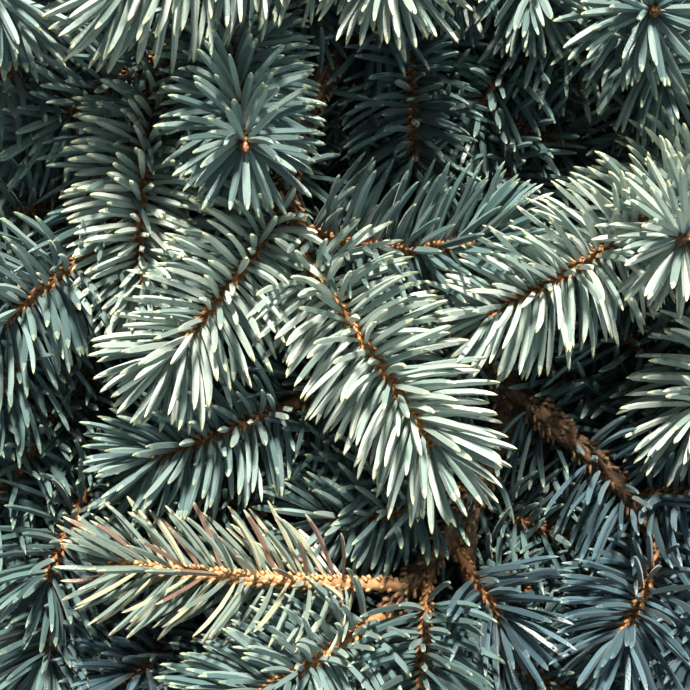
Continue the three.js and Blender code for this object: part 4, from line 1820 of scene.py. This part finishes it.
@dataclass
class Bough:
    """The whole cut bough, from its bark to its buds.

    Bud sizes are against a full one, and limbs are drawn at a share of their radii, which leaves
    room for the relief of their bark. They bear no needles along the bare share next to the foot.
    """

    growth: Growth
    bud_size: float = 0.66
    rosette_bud_size: float = 0.78
    limb_bud_size: float = 1.1
    limb_share: float = 0.97
    flare_reach: float = 14.0
    limb_bare_share: float = 0.3
    limb_needle_girth: float = 0.86
    old_seed: float = 40.0

    def __post_init__(self) -> None:
        """Starts the pieces that all sprays share."""
        self.coat = NeedleCoat(self.growth)
        self.pegs, self.scars, self.twigs, self.buds = Parts(), Parts(), Parts(), Parts()
        self.twig_skin, self.old_skin, self.bud_maker = TwigSkin(), BarkSkin(), BudMaker()

    def build(self) -> None:
        """Makes every piece."""
        self._limbs()
        SawnFace().build((self.growth.limbs["main_limb"].curve.foot + ROW_SHIFT) * MM)
        batches = self._dress_sprays()
        self._limb_buds()
        # The limbs' needles are darkened as painted shade.
        batches[Tint.DEEP_BLUE].append((self._limb_needles(), []))
        self._build_needles(batches)
        self._build_wood()

    def _limbs(self) -> None:
        """Makes the limbs' bark."""
        skin = BarkSkin()
        for i, limb in enumerate(self.growth.limbs.values()):
            skin.add(limb.curve, self._limb_radius(limb), float(i))
        skin.build("limb_bark", FlakyBark(), list(self.growth.limbs))

    def _limb_radius(self, limb: Limb) -> Callable[[np.ndarray], np.ndarray]:
        """Gives a limb's radius as a function of shares of its length."""
        share, reach = self.limb_share, self.flare_reach
        return lambda t: mix(*limb.radii, t) * (1 + limb.flare * np.exp(-reach * t)) * share

    def _dress_sprays(self) -> dict[Tint, list[tuple[Parts, list[str]]]]:
        """Gathers the needles, pegs, twigs and buds of every spray.

        Returns:
            The needles of each tint, in batches, with the solids that each stands for.
        """
        batches: dict[Tint, list[tuple[Parts, list[str]]]] = {t: [(Parts(), [])] for t in Tint}
        for spray in self.growth.sprays:
            batch = batches[spray.tint]
            if batch[-1][0].triangles > PIECE_FULL:
                batch.append((Parts(), []))
            needles, nodes = batch[-1]
            nodes.append(spray.node)
            wood, shares = PALE_WOODS.get(spray.name, Wood.BROWN), spray.tint.value.shares
            for n, shoot in enumerate(spray.shoots):
                pegs = self.scars if shoot.old else self.pegs
                self.coat.dress(shoot, shares, needles, pegs, wood)
                seed = float(n + len(spray.name))
                if shoot.old:
                    self.old_skin.add(shoot.curve, shoot.radius, seed + self.old_seed)
                else:
                    self.twig_skin.add(shoot, self.twigs, seed, wood)
                size = self.rosette_bud_size if shoot.rosette else self.bud_size
                self.bud_maker.add(shoot, self.buds, size)
        return batches

    def _limb_buds(self) -> None:
        """Adds a bud to each limb that no spray goes on from."""
        led = {limb for _, limb, share, *_ in SHOWN_SPRAYS if share == 1}
        for name in NEEDLED_LIMBS:
            if name not in led:
                tip = Shoot(self.growth.limbs[name].curve)
                self.bud_maker.add(tip, self.buds, self.limb_bud_size)

    def _limb_needles(self) -> Parts:
        """Clothes the limbs in what needles they keep.

        Returns:
            The needles.
        """
        needles = Parts()
        for name, kept in NEEDLED_LIMBS.items():
            limb = self.growth.limbs[name]
            shoot = Shoot(
                limb.curve,
                old=True,
                radii=limb.radii,
                bare_foot=limb.curve.length * self.limb_bare_share,
                kept=kept,
                girth=self.limb_needle_girth,
            )
            # The limbs' needles are darkened as painted shade.
            self.coat.dress(shoot, Tint.DEEP_BLUE.value.shares, needles, self.scars)
        return needles

    @staticmethod
    def _build_needles(batches: dict[Tint, list[tuple[Parts, list[str]]]]) -> None:
        """Makes the pieces of needles.

        Args:
            batches: The needles of each tint, with the solids that each batch stands for.
        """
        for tint, batch in batches.items():
            shades = tint.value
            colours = (*shades.lengths, shades.fade, shades.tip)
            looks = [NeedleWax(code).make(f"{tint.word}_{n}") for n, code in enumerate(colours)]
            slot = f"needles_{tint.word}"
            for n, (needles, nodes) in enumerate(batch, 1):
                name = f"{slot}_{n}" if len(batch) > 1 else slot
                needles.build(name, looks, slot, NEEDLE_SIDES, nodes)

    def _build_wood(self) -> None:
        """Makes the pegs, twigs and buds, with their woods in the order of their slots."""
        woods = PegWood(), PegWood(0xA07A50, 0xD9B287), PegWood(0x8A5E36, 0xD9A468)
        barks = (
            TwigBark(),
            TwigBark(0x7E5836, 0xB58353, 0xE0BF9A),
            TwigBark(0x7A4E2C, 0xA8723F, 0xD0A06A),
        )
        peg_looks = [wood.make(f"peg_wood_{n}") for n, wood in enumerate(woods)]
        self.pegs.build("needle_pegs", peg_looks, "bark")
        self.scars.build("old_pegs", [PegWood(0x4B372A, 0xA38560).make("old_peg_wood")], "bark")
        twig_looks = [bark.make(f"twig_bark_{n}") for n, bark in enumerate(barks)]
        self.twigs.build("twigs", twig_looks, "bark")
        self.buds.build("buds", [BudScales().make("bud_scales")], "bark")
        self.old_skin.build("old_twig_bark", FlakyBark())


@dataclass
class Studio:
    """The floor, the lights and the camera, which looks straight down.

    Places and sizes are metres, but for the camera's height. Half the view is given at distance 1.
    The sun comes in low from the sawn end, and a wide soft light fills the other side.
    """

    camera_height: float = 292.0
    half_view: float = 0.3
    clips: tuple[float, float] = (0.005, 20.0)
    floor_size: float = 3.0
    sun: float = 11.7
    sun_angle: float = 7.0
    sun_tint: int = 0xFFF3E2
    sun_spot: tuple[float, float, float] = (0.0, 0.61, 0.52)
    fill: float = 2.8
    fill_size: float = 0.9
    fill_tint: int = 0xE6F0F0
    fill_spot: tuple[float, float, float] = (0.5, -0.35, 0.75)
    room: float = 0.18
    room_tint: int = 0xCCDAD8

    def build(self) -> None:
        """Makes them all."""
        self._camera()
        self._floor()
        bpy.context.scene.view_settings.view_transform = "Standard"
        sun = bpy.data.lights.new("key", "SUN")
        sun.angle = math.radians(self.sun_angle)
        self._hang(sun, self.sun, self.sun_tint, self.sun_spot)
        fill = bpy.data.lights.new("fill", "AREA")
        fill.shape, fill.size = "DISK", self.fill_size
        self._hang(fill, self.fill, self.fill_tint, self.fill_spot)
        world = bpy.data.worlds.new("soft_room")
        world.use_nodes = True
        background = world.node_tree.nodes["Background"]
        background.inputs["Color"].default_value = linear(self.room_tint)
        background.inputs["Strength"].default_value = self.room
        bpy.context.scene.world = world

    def _camera(self) -> None:
        """Sets up the camera over the middle of the picture."""
        data = bpy.data.cameras.new("camera")
        data.lens = data.sensor_width / (2 * self.half_view)
        data.clip_start, data.clip_end = self.clips
        camera = bpy.data.objects.new("camera", data)
        camera.location = (np.array([0, 0, self.camera_height]) + ROW_SHIFT) * MM
        bpy.context.scene.collection.objects.link(camera)
        bpy.context.scene.camera = camera

    def _floor(self) -> None:
        """Lays the floor."""
        mesh = bpy.data.meshes.new("floor")
        plane = bmesh.new()
        bmesh.ops.create_grid(plane, x_segments=1, y_segments=1, size=self.floor_size)
        plane.to_mesh(mesh)
        plane.free()
        mesh.materials.append(PaleFloor().make("pale_floor"))
        floor = bpy.data.objects.new("floor", mesh)
        bpy.context.scene.collection.objects.link(floor)

    @staticmethod
    def _hang(
        data: bpy.types.Light, energy: float, tint: int, spot: tuple[float, float, float]
    ) -> None:
        """Puts a light at a place, facing the bough.

        Args:
            data: The light.
            energy: Its strength.
            tint: Its colour, as 0xRRGGBB.
            spot: Its place.
        """
        data.energy, data.color = energy, linear(tint)[:3]
        light = bpy.data.objects.new(data.name, data)
        light.location = spot
        light.rotation_euler = (-Vector(spot)).to_track_quat("-Z", "Y").to_euler()
        bpy.context.scene.collection.objects.link(light)


def main() -> None:
    """Dresses the bough and sets up the studio."""
    logging.basicConfig(level=logging.INFO, format="%(name)s: %(message)s")
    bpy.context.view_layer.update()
    Bough(Growth()).build()
    Studio().build()
    bpy.context.view_layer.update()


if __name__ == "__main__":
    main()
